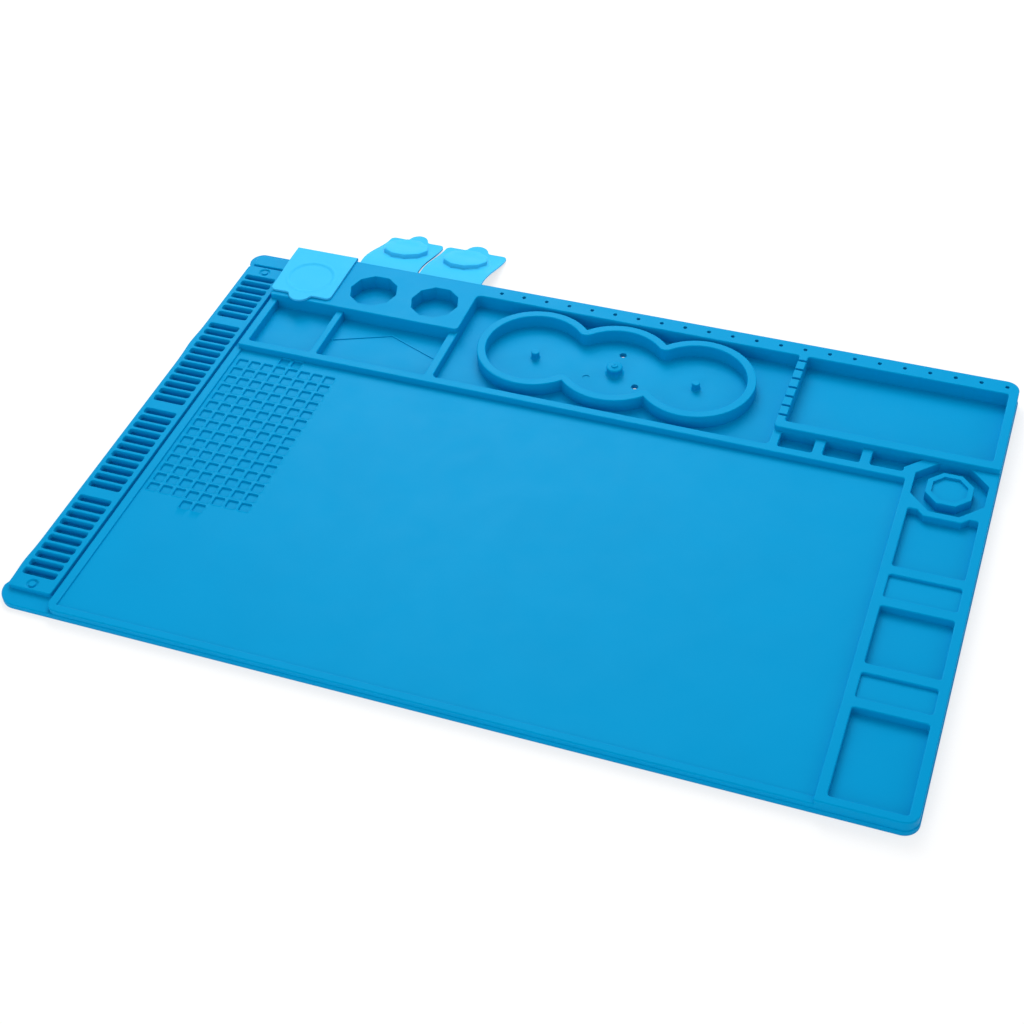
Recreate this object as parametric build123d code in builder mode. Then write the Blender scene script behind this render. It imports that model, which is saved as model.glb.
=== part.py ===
"""Silicone sorting and repair mat: slotted tool rack, work panel with screw pockets, trays, a
three-lobed dish and three pots with living-hinge lids. Millimetres, +Z up, origin at the middle of
the underside, +Y towards the back edge where the lids are."""
import os
from math import asin, atan2, cos, degrees, hypot, pi, radians, sin, tan

from build123d import *

# ---- overall moulding -------------------------------------------------------------------------
MAT_LENGTH = 480.0          # along X
MAT_DEPTH = 318.0           # along Y
SHEET_THICKNESS = 3.0       # thin base sheet under everything
MAT_CORNER_RADIUS = 8.0
WALL_INSET = 0.5            # raised walls stand this far in; the sheet's edge is rounded as much
TOP_ROUND = 0.7             # rounding on the top edges of the raised mouldings
SMALL_ROUND = 0.4           # the same on thin or low features
TRAY_CORNER = 1.5           # rounding in the corners of the open trays
WELL_CORNER = 3.0           # the same in the dish well, and on the tall walls' free corners
LAP = 6.0                   # how far a wall runs under a taller one before it is trimmed to it

# ---- heights of the raised mouldings above the bench -------------------------------------------
RACK_HEIGHT = 5.6
SURFACE_HEIGHT = 5.0        # work surface
RIM_HEIGHT = 6.0            # rim round the work surface
FRAME_HEIGHT = 8.8          # front rail, small bays and right column
TALL_HEIGHT = 11.8          # pot block, back rail and big right-hand tray
RING_HEIGHT = 11.2
DEEP_FLOOR_HEIGHT = 4.3     # floors of the three deep column trays
NARROW_FLOOR_HEIGHT = 7.0   # floors of the two shallow column trays

# ---- tool rack on the left ---------------------------------------------------------------------
RACK_MARGIN = 3.4           # sheet edge to rack
RACK_WIDTH = 25.9
RACK_FRONT_SETBACK = 10.5
RACK_BACK_SETBACK = 16.0
RACK_END_ROUND = 1.5        # rounding of the rack's corners beside the panel
RACK_OUTER_ROUND = 3.0      # the same along the mat's left edge
SLOT_LENGTH = 19.6
SLOT_WIDTH = 4.5
SLOT_CORNER = 1.5
SLOT_PITCH = 6.44
SLOT_COUNTS = (10, 11, 12, 7)   # slots in each group, from the front
SLOT_GROUP_STEP = 12.0      # last slot of a group to the first of the next
FIRST_SLOT_SETBACK = 22.4   # front edge of the mat to the middle of the first slot
SLOT_SKIN = 1.2             # sheet left under a slot, which goes right through the rack
PEG_DIAMETER = 3.8
PEG_RING_DIAMETER = 6.4
PEG_RING_DEPTH = 0.8
FRONT_PEG_SETBACK = 14.6
BACK_PEG_SETBACK = 20.6
END_STOP_GAP = 1.6
END_STOP_SIDE_SETBACK = 1.6 # rack's left side to the end stop's left end
END_STOP_BACK_SETBACK = 4.5

# ---- work panel --------------------------------------------------------------------------------
PANEL_GAP = 2.0             # channel between the rack and the panel
LEFT_RIM = 5.0
FRONT_RIM = 4.7
POCKET_SIZE = 5.9
POCKET_PITCH = 8.0
POCKET_DEPTH = 0.9
POCKET_CORNER = 0.8
RIM_CORNER = 6.0
POCKET_COLUMNS = 8
POCKET_ROWS = 15
TAB_COLUMNS = (3, 4)        # columns with one more pocket at each end
POCKET_SIDE_MARGIN = 2.5    # rim to the first column
POCKET_BACK_MARGIN = 8.7    # front rail to the first full row

# ---- front rail and the two bays at the back left ----------------------------------------------
FRONT_RAIL_WIDTH = 5.4
BAY_SETBACK = 33.4          # sheet's left edge to the bays' outer wall
BAY_WALL = 4.9
BAY_DIVIDER_WIDTH = 4.4
DISH_DIVIDER_WIDTH = 5.2
LEFT_BAY_WIDTH = 39.7
CHEVRON_WIDTH = 0.9
CHEVRON_HEIGHT = 0.5
CHEVRON_RISE = 14.0
CHEVRON_SETBACK = 21.0      # bay's front wall to the ends of the chevron

# ---- pot block and lids ------------------------------------------------------------------------
BLOCK_DEPTH = 46.5
BLOCK_LENGTH = 122.9        # its right face is flush with the dish well's left wall
LID_LAND = 2.6              # what the row of lids leaves free of the block's length
POT_SIDES = 10
POT_RADIUS = 14.75          # to the corners
POT_BACK_SETBACK = 25.3     # block's back face to the pots' centres
LID_COUNT = 3
LID_THICKNESS = 1.2
LID_GAP = 0.2               # closed lid over the block's top
LID_SLIT = 0.6              # between neighbouring lids
LID_REACH = 43.5            # hinge line to the lid's free edge
LID_CORNER = 2.5
TAB_RADIUS = 7.2
TAB_REACH = 6.8             # tab's tip beyond the lid's free edge
PLUG_CLEARANCE = 0.5
PLUG_HEIGHT = 4.0
HINGE_BEHIND_BLOCK = 0.8    # hinge line behind the block's back face
WEB_REACH = 1.2             # hinge line to the lid's near edge
WEB_WIDTH = 38.0
WEB_LAP = 0.4               # hinge line to the web's near face
WEB_FACE = 1.2              # hinge line to the web's far face
PLUG_CHAMFER = 0.5
TIP_CLEARANCE = 0.1         # open lid's tip over the bench

# ---- back rail, dish and big tray --------------------------------------------------------------
BACK_RAIL_WIDTH = 11.3
PIN_HOLE_DIAMETER = 2.4
PIN_HOLE_DEPTH = 6.0
PIN_HOLE_PITCH = 14.41
PIN_HOLE_COUNT = 22
PIN_HOLE_SIDE_SETBACK = 7.0
PIN_HOLE_BACK_SETBACK = 5.5
DISH_WELL_DEPTH = 76.6      # front rail to back rail
WELL_SHARE = 0.6154         # dish well's share of the length right of the pot block
RING_WALL = 5.2
LOBE_COUNT = 3
LOBE_PITCH = 48.8
RING_LEFT_SHARE = 0.4646    # left gap's share of what the ring leaves free beside it
RING_BACK_GAP = 1.9
RING_FRONT_GAP = 5.9
PIN_DIAMETER = 4.6
PIN_HEIGHT = 4.4
PIN_FOOT_DIAMETER = 6.6
PIN_FOOT_HEIGHT = 1.2
POST_DIAMETER = 8.6
POST_HEIGHT = 3.6
POST_CAP_DIAMETER = 9.6
POST_CAP_HEIGHT = 2.4
POST_NOTCH_WIDTH = 1.6
DRAIN_CIRCLE = 34.0         # diameter of the circle of the dish's holes round the post
DRAIN_DIAMETER = 4.2
DRAIN_ANGLES = (90, -30)    # the two open holes
BLIND_ANGLE = 210           # the third place, closed by a thin skin
BLIND_DEPTH = 0.4
TRAY_FRONT_WALL = 6.1
TRAY_WELL_DEPTH = 58.3
NOTCHED_WALL = 5.1
NOTCH_COUNT = 7
NOTCH_PITCH = 8.2
NOTCH_WIDTH = 1.8
NOTCH_DEPTH = 1.3
BIT_SLOT_SHARES = (0.333, 0.353, 0.314)     # each slot's share of the row, from the left
BIT_SLOT_DIVIDERS = (5.8, 5.7)
BIT_SLOT_SLANT = 8.6        # the last slot's slanted end, along X and along Y
BIT_SLOT_BACK_CORNER = 2.5  # the slots flare where their sides meet the tray's front wall
BIT_SLOT_LAP = 0.3          # how far they run under that wall before it trims them
BIT_SLOT_END_WALL = 2.3     # last slot to the right-hand column

# ---- right-hand column -------------------------------------------------------------------------
OUTER_WALL = 5.2
INNER_WALL = 5.5
COLUMN_TRAY_WIDTH = 37.0
COLUMN_FRONT_WALL = 4.7
COLUMN_BAR = 6.4
COLUMN_TRAYS = (54.6, 16.2, 39.7, 16.5)     # from the front; the fifth runs to the octagon
OCTAGON_SIDES = 8
OCTAGON_ACROSS = 39.0
OCTAGON_WALL = 4.4
OCTAGON_FRONT_LAND = 0.5    # fifth tray's back edge in front of the well's front flat
CUP_ACROSS = 24.6
CUP_WALL = 3.0
CUP_FLOOR_HEIGHT = 7.4

# ---- places worked out from the sizes ----------------------------------------------------------
X_LEFT = -MAT_LENGTH / 2
X_RIGHT = MAT_LENGTH / 2
Y_FRONT = -MAT_DEPTH / 2
Y_BACK = MAT_DEPTH / 2
SHEET_TOP = SHEET_THICKNESS
OUTER_RIGHT = X_RIGHT - WALL_INSET
OUTER_FRONT = Y_FRONT + WALL_INSET
OUTER_BACK = Y_BACK - WALL_INSET
WALL_CORNER = MAT_CORNER_RADIUS - WALL_INSET

RACK_LEFT = X_LEFT + RACK_MARGIN
RACK_RIGHT = RACK_LEFT + RACK_WIDTH
RACK_MID = (RACK_LEFT + RACK_RIGHT) / 2
RACK_FRONT = Y_FRONT + RACK_FRONT_SETBACK
RACK_BACK = Y_BACK - RACK_BACK_SETBACK
PANEL_LEFT = RACK_RIGHT + PANEL_GAP
SURFACE_LEFT = PANEL_LEFT + LEFT_RIM
SURFACE_FRONT = OUTER_FRONT + FRONT_RIM

COLUMN_TRAY_RIGHT = OUTER_RIGHT - OUTER_WALL
COLUMN_TRAY_LEFT = COLUMN_TRAY_RIGHT - COLUMN_TRAY_WIDTH
COLUMN_LEFT = COLUMN_TRAY_LEFT - INNER_WALL
COLUMN_MID = (COLUMN_TRAY_LEFT + COLUMN_TRAY_RIGHT) / 2

BACK_RAIL_FRONT = OUTER_BACK - BACK_RAIL_WIDTH
WELL_FRONT = BACK_RAIL_FRONT - DISH_WELL_DEPTH      # back face of the front rail
PANEL_BACK = WELL_FRONT - FRONT_RAIL_WIDTH
TRAY_WALL_BACK = BACK_RAIL_FRONT - TRAY_WELL_DEPTH
TRAY_WALL_FRONT = TRAY_WALL_BACK - TRAY_FRONT_WALL
BLOCK_LEFT = X_LEFT + BAY_SETBACK
BLOCK_RIGHT = BLOCK_LEFT + BLOCK_LENGTH
BLOCK_BACK = OUTER_BACK
BLOCK_FRONT = BLOCK_BACK - BLOCK_DEPTH
LEFT_BAY_LEFT = BLOCK_LEFT + BAY_WALL
LEFT_BAY_RIGHT = LEFT_BAY_LEFT + LEFT_BAY_WIDTH
RIGHT_BAY_LEFT = LEFT_BAY_RIGHT + BAY_DIVIDER_WIDTH
RIGHT_BAY_RIGHT = BLOCK_RIGHT - DISH_DIVIDER_WIDTH
LEFT_BAY_MID = (LEFT_BAY_LEFT + LEFT_BAY_RIGHT) / 2
RIGHT_BAY_MID = (RIGHT_BAY_LEFT + RIGHT_BAY_RIGHT) / 2
WELL_LEFT = BLOCK_RIGHT
NOTCHED_LEFT = WELL_LEFT + WELL_SHARE * (OUTER_RIGHT - WELL_LEFT)
WELL_MID = (WELL_LEFT + NOTCHED_LEFT) / 2
TRAY_LEFT = NOTCHED_LEFT + NOTCHED_WALL
TRAY_RIGHT = OUTER_RIGHT - OUTER_WALL
TRAY_MID = (TRAY_LEFT + TRAY_RIGHT) / 2

LID_PITCH = (BLOCK_LENGTH - LID_LAND) / LID_COUNT
LID_WIDTH = LID_PITCH - LID_SLIT
POT_Y = BLOCK_BACK - POT_BACK_SETBACK
HINGE_Y = BLOCK_BACK + HINGE_BEHIND_BLOCK
HINGE_Z = TALL_HEIGHT + LID_GAP / 2
PLUG_RADIUS = POT_RADIUS - PLUG_CLEARANCE
PLUG_REACH = HINGE_Y - POT_Y                        # hinge line to the plug's centre

RING_RADIUS = (DISH_WELL_DEPTH - RING_BACK_GAP - RING_FRONT_GAP) / 2
RING_LENGTH = (LOBE_COUNT - 1) * LOBE_PITCH + 2 * RING_RADIUS
RING_LEFT = WELL_LEFT + RING_LEFT_SHARE * (NOTCHED_LEFT - WELL_LEFT - RING_LENGTH)
RING_Y = BACK_RAIL_FRONT - RING_BACK_GAP - RING_RADIUS
LOBE_XS = [RING_LEFT + RING_RADIUS + i * LOBE_PITCH for i in range(LOBE_COUNT)]
POST_X = LOBE_XS[LOBE_COUNT // 2]

LAST_SLOT_RIGHT = COLUMN_LEFT - BIT_SLOT_END_WALL
BIT_SLOT_RUN = LAST_SLOT_RIGHT - TRAY_LEFT - sum(BIT_SLOT_DIVIDERS)
BIT_WALLS = [(NOTCHED_LEFT, TRAY_LEFT)]
for share, wall in zip(BIT_SLOT_SHARES, BIT_SLOT_DIVIDERS):
    slot_end = BIT_WALLS[-1][1] + share * BIT_SLOT_RUN
    BIT_WALLS.append((slot_end, slot_end + wall))
LAST_SLOT_LEFT = BIT_WALLS[-1][1]
LAST_SLOT_MID = (LAST_SLOT_LEFT + LAST_SLOT_RIGHT) / 2

OCTAGON_Y = TRAY_WALL_FRONT - OCTAGON_ACROSS / 2
OCTAGON_FRONT = OCTAGON_Y - OCTAGON_ACROSS / 2 - OCTAGON_FRONT_LAND
OCTAGON_TURN = 180 / OCTAGON_SIDES                  # a flat to the front
OCTAGON_END = OCTAGON_Y - OCTAGON_ACROSS / 2 - OCTAGON_WALL - TRAY_CORNER

TRAY_FRONTS = [OUTER_FRONT + COLUMN_FRONT_WALL]
for depth in COLUMN_TRAYS:
    TRAY_FRONTS.append(TRAY_FRONTS[-1] + depth + COLUMN_BAR)
TRAY_BACKS = [front + depth for front, depth in zip(TRAY_FRONTS, COLUMN_TRAYS)] + [OCTAGON_FRONT]


def octagon_radius(across):
    """Corner radius of an octagon from the distance between its flats."""
    return across / 2 / cos(pi / OCTAGON_SIDES)


def block(x0, x1, y0, y1, mode=Mode.ADD):
    """Rectangle from corner to corner in the sketch that is open."""
    with Locations(((x0 + x1) / 2, (y0 + y1) / 2)):
        Rectangle(x1 - x0, y1 - y0, mode=mode)


def round_corners(sketch, radius, *points):
    """Round the open sketch's corners nearest to these points."""
    for point in points:
        fillet(sketch.vertices().sort_by_distance(point)[0], radius)


def top_edges(part, height):
    """Edges that lie in the flat top at this height."""
    return part.edges().filter_by_position(Axis.Z, height - 0.01, height + 0.01)


def mouth_edges(part, height, centres, reach):
    """Edges round the wells cut in the flat top at this height, with their middles in reach."""
    return top_edges(part, height).filter_by(
        lambda edge: any(hypot(edge.center().X - x, edge.center().Y - y) < reach for x, y in centres)
    )


def cut_slots(floor):
    """Cut the rack's slots into the open part, from above down to this height."""
    with BuildSketch(Plane.XY.offset(floor)) as slots:
        with Locations(*[(RACK_MID, y) for y in slot_ys]):
            RectangleRounded(SLOT_LENGTH, SLOT_WIDTH, SLOT_CORNER)
    extrude(slots.sketch, amount=RACK_HEIGHT, mode=Mode.SUBTRACT)


def save(part, name):
    """Label a piece and write its STEP file."""
    part.part.label = name
    export_step(part.part, f"parts/{name}.step")


def cut_piece(moulding, name, regions, taller=None):
    """Save the part of a moulding in these rectangles, trimmed to a taller moulding if there is one."""
    with BuildPart() as piece:
        with BuildSketch(Plane.XY.offset(SHEET_TOP)):
            for region in regions:
                block(*region)
        extrude(amount=TALL_HEIGHT)
        add(moulding, mode=Mode.INTERSECT)
        if taller:
            add(taller, mode=Mode.SUBTRACT)
    save(piece, name)


os.makedirs("parts", exist_ok=True)

# ---- base sheet --------------------------------------------------------------------------------
slot_ys = []
slot_y = Y_FRONT + FIRST_SLOT_SETBACK
for count in SLOT_COUNTS:
    slot_ys += [slot_y + i * SLOT_PITCH for i in range(count)]
    slot_y = slot_ys[-1] + SLOT_GROUP_STEP

with BuildPart() as base_sheet:
    with BuildSketch():
        RectangleRounded(MAT_LENGTH, MAT_DEPTH, MAT_CORNER_RADIUS)
    extrude(amount=SHEET_THICKNESS)
    fillet(top_edges(base_sheet, SHEET_TOP), WALL_INSET)
    with BuildSketch(Plane.XY.offset(SHEET_TOP)):
        with Locations((POST_X, RING_Y)):
            for angle in DRAIN_ANGLES:
                with PolarLocations(DRAIN_CIRCLE / 2, 1, start_angle=angle):
                    Circle(DRAIN_DIAMETER / 2)
    extrude(amount=-SHEET_THICKNESS, mode=Mode.SUBTRACT)
    with BuildSketch(Plane.XY.offset(SHEET_TOP)):
        with Locations((POST_X, RING_Y)):
            with PolarLocations(DRAIN_CIRCLE / 2, 1, start_angle=BLIND_ANGLE):
                Circle(DRAIN_DIAMETER / 2)
    extrude(amount=-BLIND_DEPTH, mode=Mode.SUBTRACT)
    cut_slots(SLOT_SKIN)
save(base_sheet, "base_sheet")

# ---- tool rack ---------------------------------------------------------------------------------
peg_points = [(RACK_MID, Y_FRONT + FRONT_PEG_SETBACK), (RACK_MID, Y_BACK - BACK_PEG_SETBACK)]

with BuildPart() as tool_rack:
    with BuildSketch(Plane.XY.offset(SHEET_TOP)):
        block(RACK_LEFT, RACK_RIGHT, RACK_FRONT, RACK_BACK)
    extrude(amount=RACK_HEIGHT - SHEET_TOP)
    fillet(tool_rack.edges().filter_by(Axis.Z).group_by(Axis.X)[0], RACK_OUTER_ROUND)
    fillet(tool_rack.edges().filter_by(Axis.Z).group_by(Axis.X)[-1], RACK_END_ROUND)
    fillet(top_edges(tool_rack, RACK_HEIGHT), TOP_ROUND)
    cut_slots(SHEET_TOP)
    with BuildSketch(Plane.XY.offset(RACK_HEIGHT)):
        with Locations(*peg_points):
            Circle(PEG_RING_DIAMETER / 2)
    extrude(amount=-PEG_RING_DEPTH, mode=Mode.SUBTRACT)
save(tool_rack, "tool_rack")

with BuildPart() as rack_pegs:
    with BuildSketch(Plane.XY.offset(RACK_HEIGHT - PEG_RING_DEPTH)):
        with Locations(*peg_points):
            Circle(PEG_DIAMETER / 2)
    extrude(amount=PEG_RING_DEPTH)
    fillet(top_edges(rack_pegs, RACK_HEIGHT), SMALL_ROUND)
save(rack_pegs, "rack_pegs")

with BuildPart() as rack_end_stop:
    with BuildSketch(Plane.XY.offset(SHEET_TOP)):
        block(RACK_LEFT + END_STOP_SIDE_SETBACK, RACK_RIGHT,
              RACK_BACK + END_STOP_GAP, Y_BACK - END_STOP_BACK_SETBACK)
    extrude(amount=RACK_HEIGHT - SHEET_TOP)
    stop_corners = rack_end_stop.edges().filter_by(Axis.Z).sort_by_distance((X_LEFT, Y_BACK, SHEET_TOP))
    fillet(stop_corners[:1], RACK_OUTER_ROUND)
    fillet(stop_corners[1:], RACK_END_ROUND)
    fillet(top_edges(rack_end_stop, RACK_HEIGHT), TOP_ROUND)
save(rack_end_stop, "rack_end_stop")

# ---- tall moulding: pot block, back rail and the big tray's walls --------------------------------
# It is rounded as one, as it is moulded, and then cut into its pieces.
lid_xs = [BLOCK_LEFT + (i + 0.5) * LID_PITCH for i in range(LID_COUNT)]
pot_centres = [(x, POT_Y) for x in lid_xs]
notch_ys = [(TRAY_WALL_BACK + BACK_RAIL_FRONT) / 2 + (i - (NOTCH_COUNT - 1) / 2) * NOTCH_PITCH
            for i in range(NOTCH_COUNT)]
last_hole = OUTER_RIGHT - PIN_HOLE_SIDE_SETBACK
with BuildPart() as tall_moulding:
    with BuildSketch(Plane.XY.offset(SHEET_TOP)) as tall_outline:
        block(BLOCK_LEFT, BLOCK_RIGHT, BLOCK_FRONT, BLOCK_BACK)
        block(BLOCK_RIGHT, OUTER_RIGHT, BACK_RAIL_FRONT, OUTER_BACK)
        block(NOTCHED_LEFT, OUTER_RIGHT, TRAY_WALL_FRONT, BACK_RAIL_FRONT)
        block(TRAY_LEFT, TRAY_RIGHT, TRAY_WALL_BACK, BACK_RAIL_FRONT, mode=Mode.SUBTRACT)
        round_corners(
            tall_outline, TRAY_CORNER,
            (TRAY_LEFT, TRAY_WALL_BACK), (TRAY_RIGHT, TRAY_WALL_BACK),
            (TRAY_LEFT, BACK_RAIL_FRONT), (TRAY_RIGHT, BACK_RAIL_FRONT),
            (NOTCHED_LEFT, BACK_RAIL_FRONT), (OUTER_RIGHT, TRAY_WALL_FRONT),
            (BLOCK_LEFT, BLOCK_FRONT), (BLOCK_LEFT, BLOCK_BACK),
        )
        round_corners(
            tall_outline, WELL_CORNER,
            (BLOCK_RIGHT, BLOCK_FRONT), (BLOCK_RIGHT, BACK_RAIL_FRONT),
            (NOTCHED_LEFT, TRAY_WALL_FRONT),
        )
        round_corners(tall_outline, WALL_CORNER, (OUTER_RIGHT, OUTER_BACK))
    extrude(amount=TALL_HEIGHT - SHEET_TOP)
    fillet(top_edges(tall_moulding, TALL_HEIGHT), TOP_ROUND)
    with BuildSketch(Plane.XY.offset(SHEET_TOP)):
        with Locations(*pot_centres):
            RegularPolygon(POT_RADIUS, POT_SIDES)
    extrude(amount=TALL_HEIGHT - SHEET_TOP, mode=Mode.SUBTRACT)
    fillet(mouth_edges(tall_moulding, TALL_HEIGHT, pot_centres, POT_RADIUS), SMALL_ROUND)
    with BuildSketch(Plane.XY.offset(TALL_HEIGHT)):
        with Locations(*[(last_hole - i * PIN_HOLE_PITCH, OUTER_BACK - PIN_HOLE_BACK_SETBACK)
                         for i in range(PIN_HOLE_COUNT)]):
            Circle(PIN_HOLE_DIAMETER / 2)
    extrude(amount=-PIN_HOLE_DEPTH, mode=Mode.SUBTRACT)
    with BuildSketch(Plane.XY.offset(TALL_HEIGHT)):
        with Locations(*[((NOTCHED_LEFT + TRAY_LEFT) / 2, y) for y in notch_ys]):
            Rectangle(NOTCHED_WALL, NOTCH_WIDTH)
    extrude(amount=-NOTCH_DEPTH, mode=Mode.SUBTRACT)
tall = tall_moulding.part

cut_piece(tall, "pot_block", [
    (BLOCK_LEFT, BLOCK_RIGHT, BLOCK_FRONT, BLOCK_BACK),
    (BLOCK_RIGHT, WELL_MID, BLOCK_FRONT, BACK_RAIL_FRONT),
])
cut_piece(tall, "back_rail", [(BLOCK_RIGHT, OUTER_RIGHT, BACK_RAIL_FRONT, OUTER_BACK)])
cut_piece(tall, "notched_divider", [(WELL_MID, TRAY_MID, TRAY_WALL_BACK, BACK_RAIL_FRONT)])
cut_piece(tall, "tray_side_wall", [(TRAY_MID, OUTER_RIGHT, TRAY_WALL_BACK, BACK_RAIL_FRONT)])
cut_piece(tall, "tray_front_wall", [(NOTCHED_LEFT, OUTER_RIGHT, TRAY_WALL_FRONT, TRAY_WALL_BACK)])

# ---- low moulding: front rail, bays, bit slots, octagonal well and right-hand column --------------
well_flat = OCTAGON_Y - OCTAGON_ACROSS / 2 - OCTAGON_WALL   # outside of the well's front flat
well_half = (OCTAGON_ACROSS / 2 + OCTAGON_WALL) * tan(pi / OCTAGON_SIDES)
well_foot = well_half + OCTAGON_FRONT - well_flat
with BuildPart() as low_moulding:
    with BuildSketch(Plane.XY.offset(SHEET_TOP)) as low_outline:
        block(BLOCK_LEFT, BLOCK_RIGHT, PANEL_BACK, BLOCK_FRONT + LAP)
        block(BLOCK_RIGHT, NOTCHED_LEFT, PANEL_BACK, WELL_FRONT)
        block(NOTCHED_LEFT, OUTER_RIGHT, PANEL_BACK, TRAY_WALL_FRONT + LAP)
        block(COLUMN_LEFT, OUTER_RIGHT, OUTER_FRONT, PANEL_BACK)
        block(LEFT_BAY_LEFT, LEFT_BAY_RIGHT, WELL_FRONT, BLOCK_FRONT + LAP, mode=Mode.SUBTRACT)
        block(RIGHT_BAY_LEFT, RIGHT_BAY_RIGHT, WELL_FRONT, BLOCK_FRONT + LAP, mode=Mode.SUBTRACT)
        for (_, left), (right, _) in zip(BIT_WALLS, BIT_WALLS[1:]):
            block(left, right, WELL_FRONT, TRAY_WALL_FRONT + BIT_SLOT_LAP, mode=Mode.SUBTRACT)
        with BuildLine():
            Polyline(
                (LAST_SLOT_LEFT, WELL_FRONT),
                (LAST_SLOT_RIGHT, WELL_FRONT),
                (LAST_SLOT_RIGHT, TRAY_WALL_FRONT - BIT_SLOT_SLANT),
                (LAST_SLOT_RIGHT + BIT_SLOT_SLANT + BIT_SLOT_LAP, TRAY_WALL_FRONT + BIT_SLOT_LAP),
                (LAST_SLOT_LEFT, TRAY_WALL_FRONT + BIT_SLOT_LAP),
                close=True,
            )
        make_face(mode=Mode.SUBTRACT)
        for front, back in zip(TRAY_FRONTS, TRAY_BACKS):
            block(COLUMN_TRAY_LEFT, COLUMN_TRAY_RIGHT, front, back, mode=Mode.SUBTRACT)
        with BuildLine():
            Polyline(
                (COLUMN_MID + well_foot, OCTAGON_FRONT),
                (COLUMN_MID + well_half, well_flat),
                (COLUMN_MID - well_half, well_flat),
                (COLUMN_MID - well_foot, OCTAGON_FRONT),
                close=True,
            )
        make_face()
        round_corners(
            low_outline, TRAY_CORNER,
            *[(x, y) for x in (LEFT_BAY_LEFT, LEFT_BAY_RIGHT, RIGHT_BAY_LEFT, RIGHT_BAY_RIGHT)
              for y in (WELL_FRONT,)],
            *[(x, WELL_FRONT) for wall in BIT_WALLS for x in wall if x > NOTCHED_LEFT],
            (LAST_SLOT_RIGHT, WELL_FRONT),
            *[(x, y) for x in (COLUMN_TRAY_LEFT, COLUMN_TRAY_RIGHT)
              for y in TRAY_FRONTS + TRAY_BACKS],
            (COLUMN_LEFT, PANEL_BACK), (COLUMN_LEFT, OUTER_FRONT), (BLOCK_LEFT, PANEL_BACK),
        )
        round_corners(
            low_outline, BIT_SLOT_BACK_CORNER,
            *[(x, TRAY_WALL_FRONT + BIT_SLOT_LAP) for wall in BIT_WALLS for x in wall
              if x > NOTCHED_LEFT],
        )
        round_corners(low_outline, WELL_CORNER, (BLOCK_RIGHT, WELL_FRONT), (NOTCHED_LEFT, WELL_FRONT))
        round_corners(low_outline, WALL_CORNER, (OUTER_RIGHT, OUTER_FRONT))
    extrude(amount=FRAME_HEIGHT - SHEET_TOP)
    fillet(top_edges(low_moulding, FRAME_HEIGHT), TOP_ROUND)
    with BuildSketch(Plane.XY.offset(SHEET_TOP)):
        with Locations((COLUMN_MID, OCTAGON_Y)):
            RegularPolygon(octagon_radius(OCTAGON_ACROSS), OCTAGON_SIDES, rotation=OCTAGON_TURN)
    extrude(amount=FRAME_HEIGHT - SHEET_TOP, mode=Mode.SUBTRACT)
    well_edges = mouth_edges(low_moulding, FRAME_HEIGHT, [(COLUMN_MID, OCTAGON_Y)],
                             octagon_radius(OCTAGON_ACROSS))
    fillet(well_edges, SMALL_ROUND)
low = low_moulding.part

cut_piece(low, "front_rail", [(BLOCK_LEFT, COLUMN_LEFT, PANEL_BACK, WELL_FRONT)])
cut_piece(low, "bay_outer_wall", [(BLOCK_LEFT, LEFT_BAY_MID, WELL_FRONT, BLOCK_FRONT + LAP)], tall)
cut_piece(low, "bay_divider", [(LEFT_BAY_MID, RIGHT_BAY_MID, WELL_FRONT, BLOCK_FRONT + LAP)], tall)
cut_piece(low, "dish_divider", [(RIGHT_BAY_MID, WELL_MID, WELL_FRONT, BLOCK_FRONT + LAP)], tall)
cut_piece(low, "bit_slot_dividers",
          [(WELL_MID, LAST_SLOT_MID, WELL_FRONT, TRAY_WALL_FRONT + LAP)], tall)
cut_piece(low, "octagon_frame", [
    (LAST_SLOT_MID, OUTER_RIGHT, WELL_FRONT, TRAY_WALL_FRONT + LAP),
    (COLUMN_LEFT, OUTER_RIGHT, PANEL_BACK, WELL_FRONT),
    (COLUMN_LEFT - TRAY_CORNER, OUTER_RIGHT, OCTAGON_END, PANEL_BACK),
], tall)
cut_piece(low, "column_inner_wall", [(COLUMN_LEFT, COLUMN_TRAY_LEFT, OUTER_FRONT, OCTAGON_END)])
cut_piece(low, "column_outer_wall", [(COLUMN_TRAY_RIGHT, OUTER_RIGHT, OUTER_FRONT, OCTAGON_END)])
cut_piece(low, "column_crossbars",
          [(COLUMN_TRAY_LEFT, COLUMN_TRAY_RIGHT, OUTER_FRONT, OCTAGON_END)])

tray_spans = list(zip(TRAY_FRONTS, TRAY_BACKS))
for name, height, spans in (
    ("deep_tray_floors", DEEP_FLOOR_HEIGHT, tray_spans[::2]),
    ("shallow_tray_floors", NARROW_FLOOR_HEIGHT, tray_spans[1::2]),
):
    with BuildPart() as tray_floors:
        with BuildSketch(Plane.XY.offset(SHEET_TOP)):
            for span in spans:
                block(COLUMN_TRAY_LEFT, COLUMN_TRAY_RIGHT, *span)
        extrude(amount=height - SHEET_TOP)
        add(low, mode=Mode.SUBTRACT)
    save(tray_floors, name)

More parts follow.
